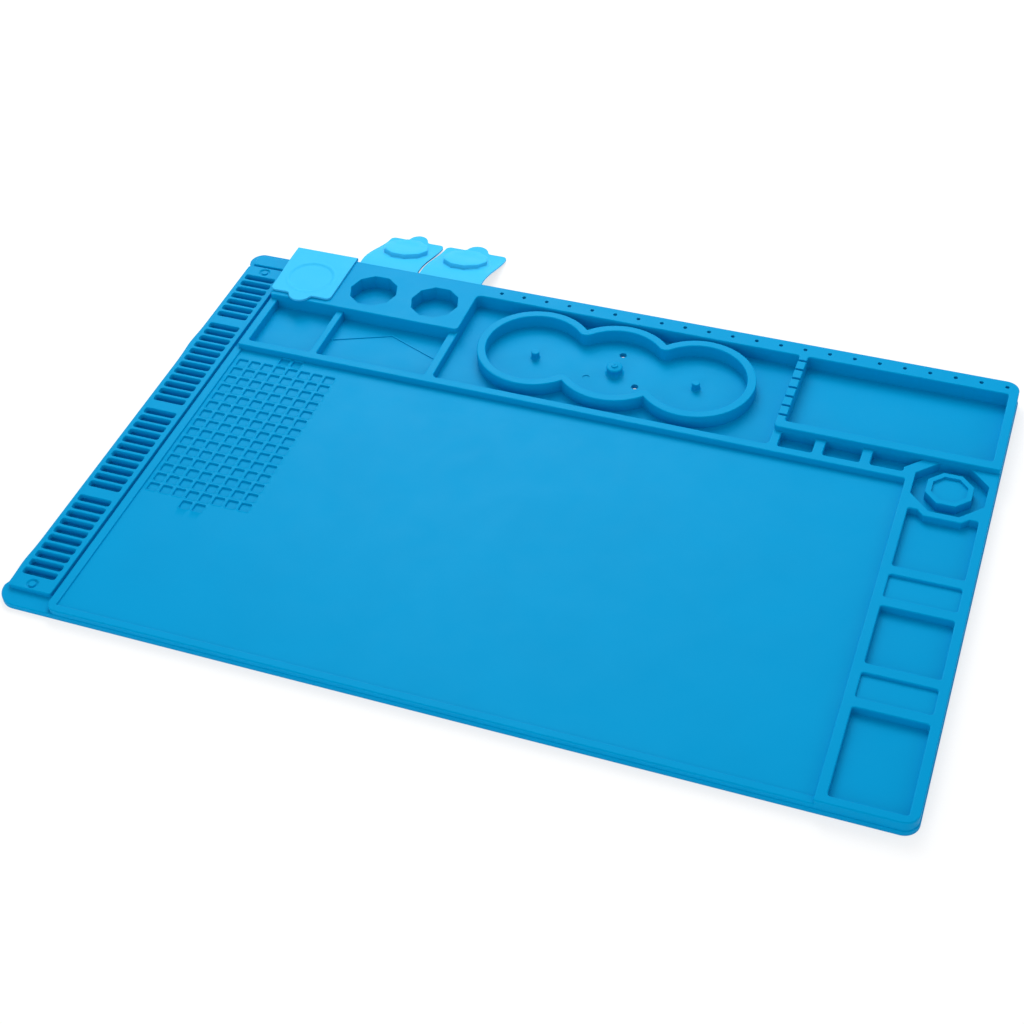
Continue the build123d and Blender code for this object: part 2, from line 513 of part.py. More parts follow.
with BuildPart() as octagon_cup:
    with BuildSketch(Plane.XY.offset(SHEET_TOP)):
        with Locations((COLUMN_MID, OCTAGON_Y)):
            RegularPolygon(octagon_radius(CUP_ACROSS), OCTAGON_SIDES, rotation=OCTAGON_TURN)
    extrude(amount=FRAME_HEIGHT - SHEET_TOP)
    fillet(top_edges(octagon_cup, FRAME_HEIGHT), SMALL_ROUND)
    with BuildSketch(Plane.XY.offset(CUP_FLOOR_HEIGHT)):
        with Locations((COLUMN_MID, OCTAGON_Y)):
            RegularPolygon(octagon_radius(CUP_ACROSS - 2 * CUP_WALL), OCTAGON_SIDES,
                           rotation=OCTAGON_TURN)
    extrude(amount=FRAME_HEIGHT - CUP_FLOOR_HEIGHT, mode=Mode.SUBTRACT)
save(octagon_cup, "octagon_cup")

with BuildPart() as chevron_rib:
    chevron_foot = WELL_FRONT + CHEVRON_SETBACK
    chevron_tip = chevron_foot + CHEVRON_RISE
    with BuildSketch(Plane.XY.offset(SHEET_TOP)):
        with BuildLine():
            Polyline(
                (RIGHT_BAY_LEFT, chevron_foot),
                (RIGHT_BAY_MID, chevron_tip),
                (RIGHT_BAY_RIGHT, chevron_foot),
                (RIGHT_BAY_RIGHT, chevron_foot - CHEVRON_WIDTH),
                (RIGHT_BAY_MID, chevron_tip - CHEVRON_WIDTH),
                (RIGHT_BAY_LEFT, chevron_foot - CHEVRON_WIDTH),
                close=True,
            )
        make_face()
    extrude(amount=CHEVRON_HEIGHT)
save(chevron_rib, "chevron_rib")

# ---- work panel and its rim --------------------------------------------------------------------
pocket_x0 = SURFACE_LEFT + POCKET_SIDE_MARGIN + POCKET_SIZE / 2
pocket_y0 = PANEL_BACK - POCKET_BACK_MARGIN - POCKET_SIZE / 2
pocket_points = [
    (pocket_x0 + column * POCKET_PITCH, pocket_y0 - row * POCKET_PITCH)
    for column in range(POCKET_COLUMNS)
    for row in range(-1, POCKET_ROWS + 1)
    if 0 <= row < POCKET_ROWS or column in TAB_COLUMNS
]
with BuildPart() as work_panel:
    with BuildSketch(Plane.XY.offset(SHEET_TOP)):
        block(SURFACE_LEFT, COLUMN_LEFT, SURFACE_FRONT, PANEL_BACK)
    extrude(amount=SURFACE_HEIGHT - SHEET_TOP)
    with BuildSketch(Plane.XY.offset(SURFACE_HEIGHT)):
        with Locations(*pocket_points):
            RectangleRounded(POCKET_SIZE, POCKET_SIZE, POCKET_CORNER)
    extrude(amount=-POCKET_DEPTH, mode=Mode.SUBTRACT)
    add(low, mode=Mode.SUBTRACT)
save(work_panel, "work_panel")

# The rim runs on under the front rail and the column, and is trimmed to them.
with BuildPart() as rim_moulding:
    with BuildSketch(Plane.XY.offset(SHEET_TOP)) as rim_outline:
        block(PANEL_LEFT, COLUMN_LEFT + LAP, OUTER_FRONT, PANEL_BACK + LAP)
        block(SURFACE_LEFT, COLUMN_LEFT + LAP, SURFACE_FRONT, PANEL_BACK + LAP, mode=Mode.SUBTRACT)
        round_corners(rim_outline, RIM_CORNER, (PANEL_LEFT, OUTER_FRONT))
    extrude(amount=RIM_HEIGHT - SHEET_TOP)
    fillet(top_edges(rim_moulding, RIM_HEIGHT), TOP_ROUND)
cut_piece(rim_moulding.part, "panel_rim", [
    (PANEL_LEFT, SURFACE_LEFT, OUTER_FRONT, PANEL_BACK),
    (PANEL_LEFT, COLUMN_LEFT + TRAY_CORNER, OUTER_FRONT, SURFACE_FRONT),
], low)

# ---- three-lobed dish --------------------------------------------------------------------------
with BuildSketch() as ring_outer:
    with Locations(*[(x, RING_Y) for x in LOBE_XS]):
        Circle(RING_RADIUS)
with BuildSketch() as ring_inner:
    add(ring_outer.sketch)
    offset(amount=-RING_WALL, kind=Kind.ARC, mode=Mode.REPLACE)
with BuildPart() as dish_ring:
    with BuildSketch(Plane.XY.offset(SHEET_TOP)):
        add(ring_outer.sketch)
        add(ring_inner.sketch, mode=Mode.SUBTRACT)
    extrude(amount=RING_HEIGHT - SHEET_TOP)
    fillet(top_edges(dish_ring, RING_HEIGHT), TOP_ROUND)
save(dish_ring, "dish_ring")

with BuildPart() as dish_pins:
    for radius, height in ((PIN_FOOT_DIAMETER / 2, PIN_FOOT_HEIGHT), (PIN_DIAMETER / 2, PIN_HEIGHT)):
        with BuildSketch(Plane.XY.offset(SHEET_TOP)):
            with Locations((LOBE_XS[0], RING_Y), (LOBE_XS[-1], RING_Y)):
                Circle(radius)
        extrude(amount=height)
    fillet(top_edges(dish_pins, SHEET_TOP + PIN_HEIGHT), TOP_ROUND)
save(dish_pins, "dish_pins")

with BuildPart() as dish_post:
    with BuildSketch(Plane.XY.offset(SHEET_TOP)):
        with Locations((POST_X, RING_Y)):
            Circle(POST_DIAMETER / 2)
    extrude(amount=POST_HEIGHT)
    with BuildSketch(Plane.XY.offset(SHEET_TOP + POST_HEIGHT)):
        with Locations((POST_X, RING_Y)):
            Circle(POST_CAP_DIAMETER / 2)
    extrude(amount=POST_CAP_HEIGHT)
    fillet(top_edges(dish_post, SHEET_TOP + POST_HEIGHT + POST_CAP_HEIGHT), TOP_ROUND)
    with BuildSketch(Plane.XY.offset(SHEET_TOP + POST_HEIGHT)):
        block(POST_X - POST_NOTCH_WIDTH / 2, POST_X + POST_NOTCH_WIDTH / 2,
              RING_Y, RING_Y + POST_CAP_DIAMETER)
    extrude(amount=POST_CAP_HEIGHT, mode=Mode.SUBTRACT)
save(dish_post, "dish_post")

# ---- lids on their hinge webs ------------------------------------------------------------------
# An open lid hangs until the tip of its tab is just over the bench.
tip_reach = LID_REACH + TAB_REACH
tip_drop = LID_GAP / 2 + LID_THICKNESS
OPEN_ANGLE = 180 + degrees(asin((HINGE_Z - TIP_CLEARANCE) / hypot(tip_reach, tip_drop))
                           - atan2(tip_drop, tip_reach))
LID_BOTTOM = HINGE_Z + LID_GAP / 2
LID_TOP = LID_BOTTOM + LID_THICKNESS
LID_FRONT = HINGE_Y - LID_REACH
lid_names = ("left", "middle", "right")
open_lids = ("middle", "right")

for side, x in zip(lid_names, lid_xs):
    hinge = Axis((x, HINGE_Y, HINGE_Z), (-1, 0, 0))
    turn = OPEN_ANGLE if side in open_lids else 0

    with BuildPart() as lid:
        with BuildSketch(Plane.XY.offset(LID_BOTTOM)) as lid_outline:
            block(x - LID_WIDTH / 2, x + LID_WIDTH / 2, LID_FRONT, HINGE_Y - WEB_REACH)
            fillet(lid_outline.vertices().group_by(Axis.Y)[0], LID_CORNER)
            with Locations((x, LID_FRONT + TAB_RADIUS - TAB_REACH)):
                Circle(TAB_RADIUS)
        extrude(amount=LID_THICKNESS)
    lid_part = lid.part.rotate(hinge, turn)
    lid_part.label = f"{side}_lid"
    export_step(lid_part, f"parts/{side}_lid.step")

    with BuildPart() as plug:
        with BuildSketch(Plane.XY.offset(LID_BOTTOM)):
            with Locations((x, HINGE_Y - PLUG_REACH)):
                RegularPolygon(PLUG_RADIUS, POT_SIDES)
        extrude(amount=-PLUG_HEIGHT)
        chamfer(plug.edges().group_by(Axis.Z)[0], PLUG_CHAMFER)
    plug_part = plug.part.rotate(hinge, turn)
    plug_part.label = f"{side}_plug"
    export_step(plug_part, f"parts/{side}_plug.step")

    # Open, the web runs on from the block to the lid's near edge. Closed, it loops round the hinge.
    droop = radians(turn - 180)
    with BuildPart() as web:
        with BuildSketch(Plane.YZ.offset(x - WEB_WIDTH / 2)):
            with BuildLine():
                if side in open_lids:
                    near = (HINGE_Y + WEB_REACH * cos(droop), HINGE_Z - WEB_REACH * sin(droop))
                    inner = (near[0] - WEB_LAP * sin(droop), near[1] - WEB_LAP * cos(droop))
                    outer = (near[0] - WEB_FACE * sin(droop), near[1] - WEB_FACE * cos(droop))
                    Polyline((BLOCK_BACK, HINGE_Z - WEB_LAP), inner, outer,
                             (BLOCK_BACK, HINGE_Z - WEB_FACE), close=True)
                else:
                    near_y = HINGE_Y - WEB_REACH
                    lower = (BLOCK_BACK, HINGE_Z - WEB_FACE)
                    lower_in = (BLOCK_BACK, HINGE_Z - WEB_LAP)
                    upper = (near_y, HINGE_Z + WEB_FACE)
                    upper_in = (near_y, HINGE_Z + WEB_LAP)
                    Line(upper, (HINGE_Y, upper[1]))
                    ThreePointArc((HINGE_Y, upper[1]), (HINGE_Y + WEB_FACE, HINGE_Z), (HINGE_Y, lower[1]))
                    Line((HINGE_Y, lower[1]), lower)
                    Line(lower, lower_in)
                    Line(lower_in, (HINGE_Y, lower_in[1]))
                    ThreePointArc((HINGE_Y, lower_in[1]), (HINGE_Y + WEB_LAP, HINGE_Z),
                                  (HINGE_Y, upper_in[1]))
                    Line((HINGE_Y, upper_in[1]), upper_in)
                    Line(upper_in, upper)
            make_face()
        extrude(amount=WEB_WIDTH)
    save(web, f"{side}_hinge_web")
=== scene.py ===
"""Looks of the silicone sorting mat: rubber finishes, moulded pieces, soft lids, light, camera.

Everything is in metres in the part's own frame: origin at the middle of the underside, +X to the
right, +Y to the back edge, +Z up. Sizes inside the classes are in millimetres and named so.
"""

from __future__ import annotations

import logging
import math
from dataclasses import dataclass, field
from enum import Enum

import bmesh
import bpy
import numpy as np
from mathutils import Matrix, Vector

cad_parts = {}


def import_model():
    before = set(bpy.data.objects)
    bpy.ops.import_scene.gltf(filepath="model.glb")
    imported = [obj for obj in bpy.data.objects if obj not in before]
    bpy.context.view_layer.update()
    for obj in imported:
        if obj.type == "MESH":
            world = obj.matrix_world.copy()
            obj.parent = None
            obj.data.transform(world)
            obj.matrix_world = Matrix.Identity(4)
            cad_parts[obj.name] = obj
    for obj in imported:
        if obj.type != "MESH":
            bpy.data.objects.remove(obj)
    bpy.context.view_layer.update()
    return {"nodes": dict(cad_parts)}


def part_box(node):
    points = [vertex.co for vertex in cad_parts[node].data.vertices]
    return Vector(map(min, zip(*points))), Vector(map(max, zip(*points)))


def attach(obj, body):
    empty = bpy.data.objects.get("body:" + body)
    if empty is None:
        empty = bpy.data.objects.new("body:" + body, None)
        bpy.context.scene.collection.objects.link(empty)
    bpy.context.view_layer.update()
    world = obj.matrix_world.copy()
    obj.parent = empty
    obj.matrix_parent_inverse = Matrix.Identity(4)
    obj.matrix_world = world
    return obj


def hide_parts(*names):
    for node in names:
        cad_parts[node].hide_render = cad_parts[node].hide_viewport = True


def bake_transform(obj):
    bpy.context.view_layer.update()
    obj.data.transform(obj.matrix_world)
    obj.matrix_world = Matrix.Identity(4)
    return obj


LOG = logging.getLogger("sorting_mat")
MM = 0.001
WELD_MM = 0.001   # points closer than this are one
Rgb = tuple[float, float, float]
Point = tuple[float, float, float]


def linear(code: str) -> Rgb:
    """Linear channels of an sRGB colour "#rrggbb": c / 12.92, or ((c + 0.055) / 1.055)^2.4."""
    channels = [int(code[i : i + 2], 16) / 255 for i in (1, 3, 5)]
    return tuple(c / 12.92 if c <= 0.04045 else ((c + 0.055) / 1.055) ** 2.4 for c in channels)


def smoothstep(low: float, high: float, value: np.ndarray) -> np.ndarray:
    """Ramp 0 to 1 between low and high: q = (value - low) / (high - low), result q²(3 - 2q)."""
    q = np.clip((value - low) / (high - low), 0.0, 1.0)
    return q * q * (3 - 2 * q)


class NodeTree:
    """A material's node tree with one short way to add and link nodes."""

    def __init__(self, material: bpy.types.Material | bpy.types.World) -> None:
        """Empty the material's tree.

        Args:
            material: the material or world whose nodes this builds.
        """
        material.use_nodes = True
        self.tree = material.node_tree
        self.tree.nodes.clear()

    def add(self, kind: str, settings: dict | None = None, **inputs: object) -> bpy.types.Node:
        """Add a node.

        Args:
            kind: node type without its "ShaderNode" start.
            settings: attributes of the node.
            **inputs: values or output sockets by input name, with "_" for a space.

        Returns:
            The new node.
        """
        node = self.tree.nodes.new("ShaderNode" + kind)
        for key, value in (settings or {}).items():
            setattr(node, key, value)
        for key, value in inputs.items():
            name = key.replace("_", " ")
            socket = node.inputs[int(name[3:])] if name.startswith("in ") else node.inputs[name]
            if isinstance(value, bpy.types.NodeSocket):
                self.tree.links.new(value, socket)
            else:
                socket.default_value = value
        return node


class Rubber(Enum):
    """Where on the mat a rubber finish is used: the thick moulded body, or the thin lids, whose finish is
    the body's rubber made lighter as painted sheen.
    """

    BODY = "body"
    LID = "lid"


class Side(Enum):
    """A pot's place in the row, seen from the front; the names of its nodes start with it."""

    LEFT = "left"
    MIDDLE = "middle"
    RIGHT = "right"


@dataclass(frozen=True)
class SiliconeRubber:
    """Silicone rubber, compression moulded from a blasted steel mould and pigmented right through.

    The eye gets a satin, slightly oily gloss with no grain from afar, faint flow clouds in the
    pigment and slow dips where the rubber shrank as it cured.

    Attributes:
        name: material name.
        colour: sRGB of the pigment.
        deep_colour: sRGB of the darker clouds in it.
        roughness: mean roughness of the satin skin.
        specular: strength of the reflection.
        ior: index of refraction of silicone.
        tint: the reflection's colour, that of the pigment under the oily skin.
        slot: the record's material slot that it stands for; not used.
        cloud_mm: width of a flow cloud.
        smear_mm: width of a patch of shinier or duller skin.
        grain_mm: blast grain of the mould, drawn coarser than its real 0.1 mm so that it shows.
    """

    name: str
    colour: str
    deep_colour: str
    roughness: float = 0.42
    specular: float = 0.07
    ior: float = 1.41
    tint: Rgb = (0.0, 0.85, 1.0)
    slot: str = "silicone"
    cloud_mm: float = 42.0
    smear_mm: float = 16.0
    grain_mm: float = 0.5

    SMEAR_ROUGHNESS = 0.04   # how much duller or shinier the patches are

    def material(self) -> bpy.types.Material:
        """Build the material.

        Returns:
            The finished material.
        """
        material = bpy.data.materials.new(self.name)
        nodes = NodeTree(material)
        place = nodes.add("TexCoord").outputs["Object"]
        cloud = nodes.add("TexNoise", Vector=place, Scale=1 / (self.cloud_mm * MM), Detail=3.0)
        pigment = nodes.add(
            "Mix",
            {"data_type": "RGBA"},
            in_0=cloud.outputs["Fac"],
            in_6=(*linear(self.colour), 1.0),
            in_7=(*linear(self.deep_colour), 1.0),
        )
        smear = nodes.add("TexNoise", Vector=place, Scale=1 / (self.smear_mm * MM), Detail=4.0)
        rough = nodes.add(
            "MapRange",
            Value=smear.outputs["Fac"],
            From_Min=0.3,
            From_Max=0.7,
            To_Min=self.roughness - self.SMEAR_ROUGHNESS,
            To_Max=self.roughness + self.SMEAR_ROUGHNESS,
        )
        grain = nodes.add("TexNoise", Vector=place, Scale=1 / (self.grain_mm * MM), Detail=2.0)
        fine = nodes.add("Bump", Strength=0.2, Distance=0.02 * MM, Height=grain.outputs["Fac"])
        slow = nodes.add(
            "Bump", Strength=0.35, Distance=1.0 * MM, Height=cloud.outputs["Fac"], Normal=fine.outputs[0]
        )
        shader = nodes.add(
            "BsdfPrincipled",
            Base_Color=pigment.outputs[2],
            Roughness=rough.outputs["Result"],
            Normal=slow.outputs["Normal"],
        )
        shader.inputs["Specular IOR Level"].default_value = self.specular
        shader.inputs["Specular Tint"].default_value = (*self.tint, 1.0)
        shader.inputs["IOR"].default_value = self.ior
        nodes.add("OutputMaterial", Surface=shader.outputs[0])
        return material


FINISHES = {
    Rubber.BODY: SiliconeRubber("silicone_rubber_light_blue", "#0092c8", "#008dc2"),
    # Painted sheen: the lids are the same rubber as the body; their lighter colour stands in for the
    # gloss and the light through the thin rubber.
    Rubber.LID: SiliconeRubber(
        "silicone_rubber_lid_painted_sheen", "#3ab6e6", "#32b0e0", roughness=0.45, slot="silicone_lid"
    ),
}


THIN_NODES = ("_lid", "_plug", "_hinge_web")   # how the names of a lid's nodes end


class Workshop:
    """Makes meshes into finished pieces of the mat."""

    def __init__(self, nodes: dict[str, bpy.types.Object]) -> None:
        """Make the finishes and put one on every CAD node: the lid finish, lighter as painted sheen, on
        the lids' nodes, and the body's on the rest.

        Args:
            nodes: the frame's CAD nodes by name.
        """
        self.nodes = nodes
        self.materials = {rubber: finish.material() for rubber, finish in FINISHES.items()}
        for name, node in nodes.items():
            rubber = Rubber.LID if name.endswith(THIN_NODES) else Rubber.BODY
            node.data.materials.clear()
            node.data.materials.append(self.materials[rubber])

    def piece(self, name: str, mesh: bpy.types.Mesh, rubber: Rubber) -> bpy.types.Object:
        """Link a mesh as an object with its finish and slot.

        Args:
            name: the piece's name.
            mesh: its mesh, already in place.
            rubber: which finish it has.

        Returns:
            The new object.
        """
        mesh.materials.clear()
        mesh.materials.append(self.materials[rubber])
        mesh.polygons.foreach_set("use_smooth", np.ones(len(mesh.polygons), bool))
        piece = bpy.data.objects.new(name, mesh)
        bpy.context.scene.collection.objects.link(piece)
        return piece

    @staticmethod
    def settle(piece: bpy.types.Object) -> None:
        """Apply the piece's modifiers, so that its mesh is final.

        Args:
            piece: the piece with live modifiers.
        """
        bpy.context.view_layer.update()
        graph = bpy.context.evaluated_depsgraph_get()
        piece.data = bpy.data.meshes.new_from_object(piece.evaluated_get(graph))
        piece.modifiers.clear()


def grid_mesh(name: str, *grids: np.ndarray, ring: bool = False) -> bpy.types.Mesh:
    """Make a mesh of quads from grids of points: quad (i, j) joins rows i, i+1 and columns j, j+1.

    Args:
        name: the mesh's name.
        *grids: each rows × columns × 3, in millimetres.
        ring: the last column joins the first.

    Returns:
        The mesh, in metres.
    """
    quads, start = [], 0
    for points in grids:
        rows, columns = points.shape[:2]
        index = start + np.arange(rows * columns).reshape(rows, columns)
        start += rows * columns
        if ring:
            index = np.concatenate([index, index[:, :1]], axis=1)
        corners = (index[:-1, :-1], index[:-1, 1:], index[1:, 1:], index[1:, :-1])
        quads += np.stack([c.ravel() for c in corners], axis=1).tolist()
    mesh = bpy.data.meshes.new(name)
    places = np.concatenate([points.reshape(-1, 3) for points in grids]) * MM
    mesh.from_pydata(places.tolist(), [], quads)
    return mesh


def weld(mesh: bpy.types.Mesh) -> None:
    """Merge a mesh's double points and turn its normals outward.

    Args:
        mesh: the mesh, in metres.
    """
    solid = bmesh.new()
    solid.from_mesh(mesh)
    bmesh.ops.remove_doubles(solid, verts=solid.verts, dist=WELD_MM * MM)
    bmesh.ops.recalc_face_normals(solid, faces=solid.faces)
    solid.to_mesh(mesh)
    solid.free()


@dataclass
class CreptEdge:
    """The mat's left edge, which isn't straight: the soft rubber has crept in along the rack.

    Attributes:
        edge_mm: x of the sheet's nominal edge.
        fade_mm: how far inwards the creep reaches, by node.
        step_mm: distance between the points that the edge gets.
        cuts_mm: y where those points start and end.
        straight_mm: how far the edge lies inwards away from the bulges.
        bulges_mm: y, width and height of the places that stand out.
        inset_mm: how far the sheet's edge lies inwards beside the rack.
        corner_inset_mm: the same at the corners.
        corners_mm: y where the front and back corners start.
        ramp_mm: how far the change to the corner's inset reaches outwards and inwards from there.
        worn_corner_mm: x and y of the sheet's front left corner, which is rounder than the others.
        worn_scale: how much rounder it is.
    """

    edge_mm: float = -240.0
    fade_mm: dict[str, float] = field(
        default_factory=lambda: {"base_sheet": 7.0, "tool_rack": 6.6, "rack_end_stop": 8.0}
    )
    step_mm: float = 3.0
    cuts_mm: tuple[float, float] = (-144.0, 157.0)
    straight_mm: float = 0.3
    bulges_mm: tuple[tuple[float, float, float], ...] = ((62.0, 10.0, 0.9), (-131.0, 9.0, 0.8))
    inset_mm: float = 2.9
    corner_inset_mm: float = 0.6
    corners_mm: tuple[float, float] = (-143.5, 146.0)
    ramp_mm: tuple[float, float] = (3.0, 2.0)
    worn_corner_mm: tuple[float, float] = (-240.0, -159.0)
    worn_scale: float = 1.5

    SHEET_ROUND_MM = 8.0    # radius of the sheet's corners before wear
    ROUND_MARGIN_MM = 0.01  # points this close to the round's end still belong to it
    FULL_SHARE = 0.6        # part of the fade after which points creep fully
    CUT_MARGIN_MM = 1.0     # faces that end this close to the fade's end aren't cut

    def inset(self, node: str, y: np.ndarray) -> np.ndarray:
        """How far the edge lies inwards.

        It is the wave a - Σ h·exp(-((y - m) / w)²), and on the sheet its inset is added, which falls
        to the corner's inset over the ramp at each end.

        Args:
            node: the node that the edge belongs to.
            y: places along the edge, in millimetres.

        Returns:
            The inset at each place.
        """
        wave = self.straight_mm - sum(h * np.exp(-(((y - m) / w) ** 2)) for m, w, h in self.bulges_mm)
        if node != "base_sheet":
            return wave
        (front, back), (out, into) = self.corners_mm, self.ramp_mm
        beside = smoothstep(front - out, front + into, y) * (1 - smoothstep(back - into, back + out, y))
        return self.corner_inset_mm + (self.inset_mm + wave - self.corner_inset_mm) * beside

    def cut(self, node: str, solid: bmesh.types.BMesh) -> None:
        """Cut the node's left edge into short lengths.

        Args:
            node: which node the solid is a copy of.
            solid: the copy, in metres.
        """
        reach = (self.edge_mm + self.fade_mm[node] - self.CUT_MARGIN_MM) * MM
        for y in np.arange(*self.cuts_mm, self.step_mm):
            edge_faces = [f for f in solid.faces if min(v.co.x for v in f.verts) < reach]
            near = {e for f in edge_faces for e in f.edges} | {v for f in edge_faces for v in f.verts}
            bmesh.ops.bisect_plane(
                solid, geom=edge_faces + list(near), plane_co=(0, y * MM, 0), plane_no=(0, 1, 0)
            )

    def creep(self, node: str, points: np.ndarray) -> np.ndarray:
        """Move points near the left edge inwards by the inset at their y.

        Args:
            node: which node they belong to.
            points: the points in millimetres.

        Returns:
            The moved points.
        """
        inner = self.edge_mm + self.fade_mm[node]
        share = smoothstep(0.0, self.fade_mm[node] * self.FULL_SHARE, inner - points[..., 0])
        moved = points.copy()
        if node == "base_sheet":
            corner = np.array(self.worn_corner_mm)
            from_corner = moved[..., :2] - corner
            reach = self.SHEET_ROUND_MM + self.ROUND_MARGIN_MM
            near = (from_corner < reach).all(axis=-1, keepdims=True)
            moved[..., :2] = corner + from_corner * np.where(near, self.worn_scale, 1.0)
        moved[..., 0] += share * self.inset(node, points[..., 1])
        return moved


@dataclass
class Moulding:
    """A moulded feature of the mat as a merged copy of its CAD nodes, shaded crisply.

    Attributes:
        name: what the feature is called.
        nodes: CAD nodes that the copy stands for; several are joined into one run of rubber.
    """

    name: str
    nodes: tuple[str, ...]

    SHARP_DEG = 30.0
    LEVEL = 0.99995   # a face whose normal's z is over this is a level top

    def merged(self, shop: Workshop) -> bpy.types.Mesh:
        """Join the nodes' meshes into one closed skin.

        Args:
            shop: workshop with the finishes.

        Returns:
            The skin's mesh.
        """
        copies = []
        for node in self.nodes:
            mesh = shop.nodes[node].data.copy()
            weld(mesh)
            copy = bpy.data.objects.new(node + "_copy", mesh)
            bpy.context.scene.collection.objects.link(copy)
            copies.append(copy)
        if len(copies) > 1:
            others = bpy.data.collections.new(self.name)
            for copy in copies[1:]:
                others.objects.link(copy)
            union = copies[0].modifiers.new("union", "BOOLEAN")
            union.operation = "UNION"
            union.operand_type = "COLLECTION"
            union.collection = others
            union.solver = "EXACT"
            shop.settle(copies[0])
            bpy.data.collections.remove(others)
        mesh = copies[0].data
        for copy in copies:
            bpy.data.objects.remove(copy)
        return mesh

    def build(self, shop: Workshop) -> bpy.types.Object:
        """Make the copy, keep its level tops flat and its sharp edges crisp, and put it in place.

        An edge is a crease where it turns more than SHARP_DEG, where a level top ends, so that the
        shading of a rounding doesn't spread over the top beside it, and where more than two faces meet.

        Args:
            shop: workshop with the finishes.

        Returns:
            The finished piece.
        """
        mesh = self.merged(shop)
        mesh.name = self.name + "_skin"
        solid = bmesh.new()
        solid.from_mesh(mesh)
        crept = CreptEdge()
        creeps = self.name in crept.fade_mm
        if creeps:
            crept.cut(self.name, solid)
        sharp = math.radians(self.SHARP_DEG)
        for edge in solid.edges:
            level = {face.normal.z > self.LEVEL for face in edge.link_faces}
            edge.smooth = edge.calc_face_angle(math.pi) < sharp and len(level) == 1
        solid.to_mesh(mesh)
        solid.free()
        if creeps:
            points = np.empty(3 * len(mesh.vertices))
            mesh.vertices.foreach_get("co", points)
            moved = crept.creep(self.name, points.reshape(-1, 3) / MM) * MM
            mesh.vertices.foreach_set("co", moved.ravel())
        piece = shop.piece(mesh.name, mesh, Rubber.BODY)
        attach(piece, "mat")
        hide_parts(*self.nodes)
        return piece


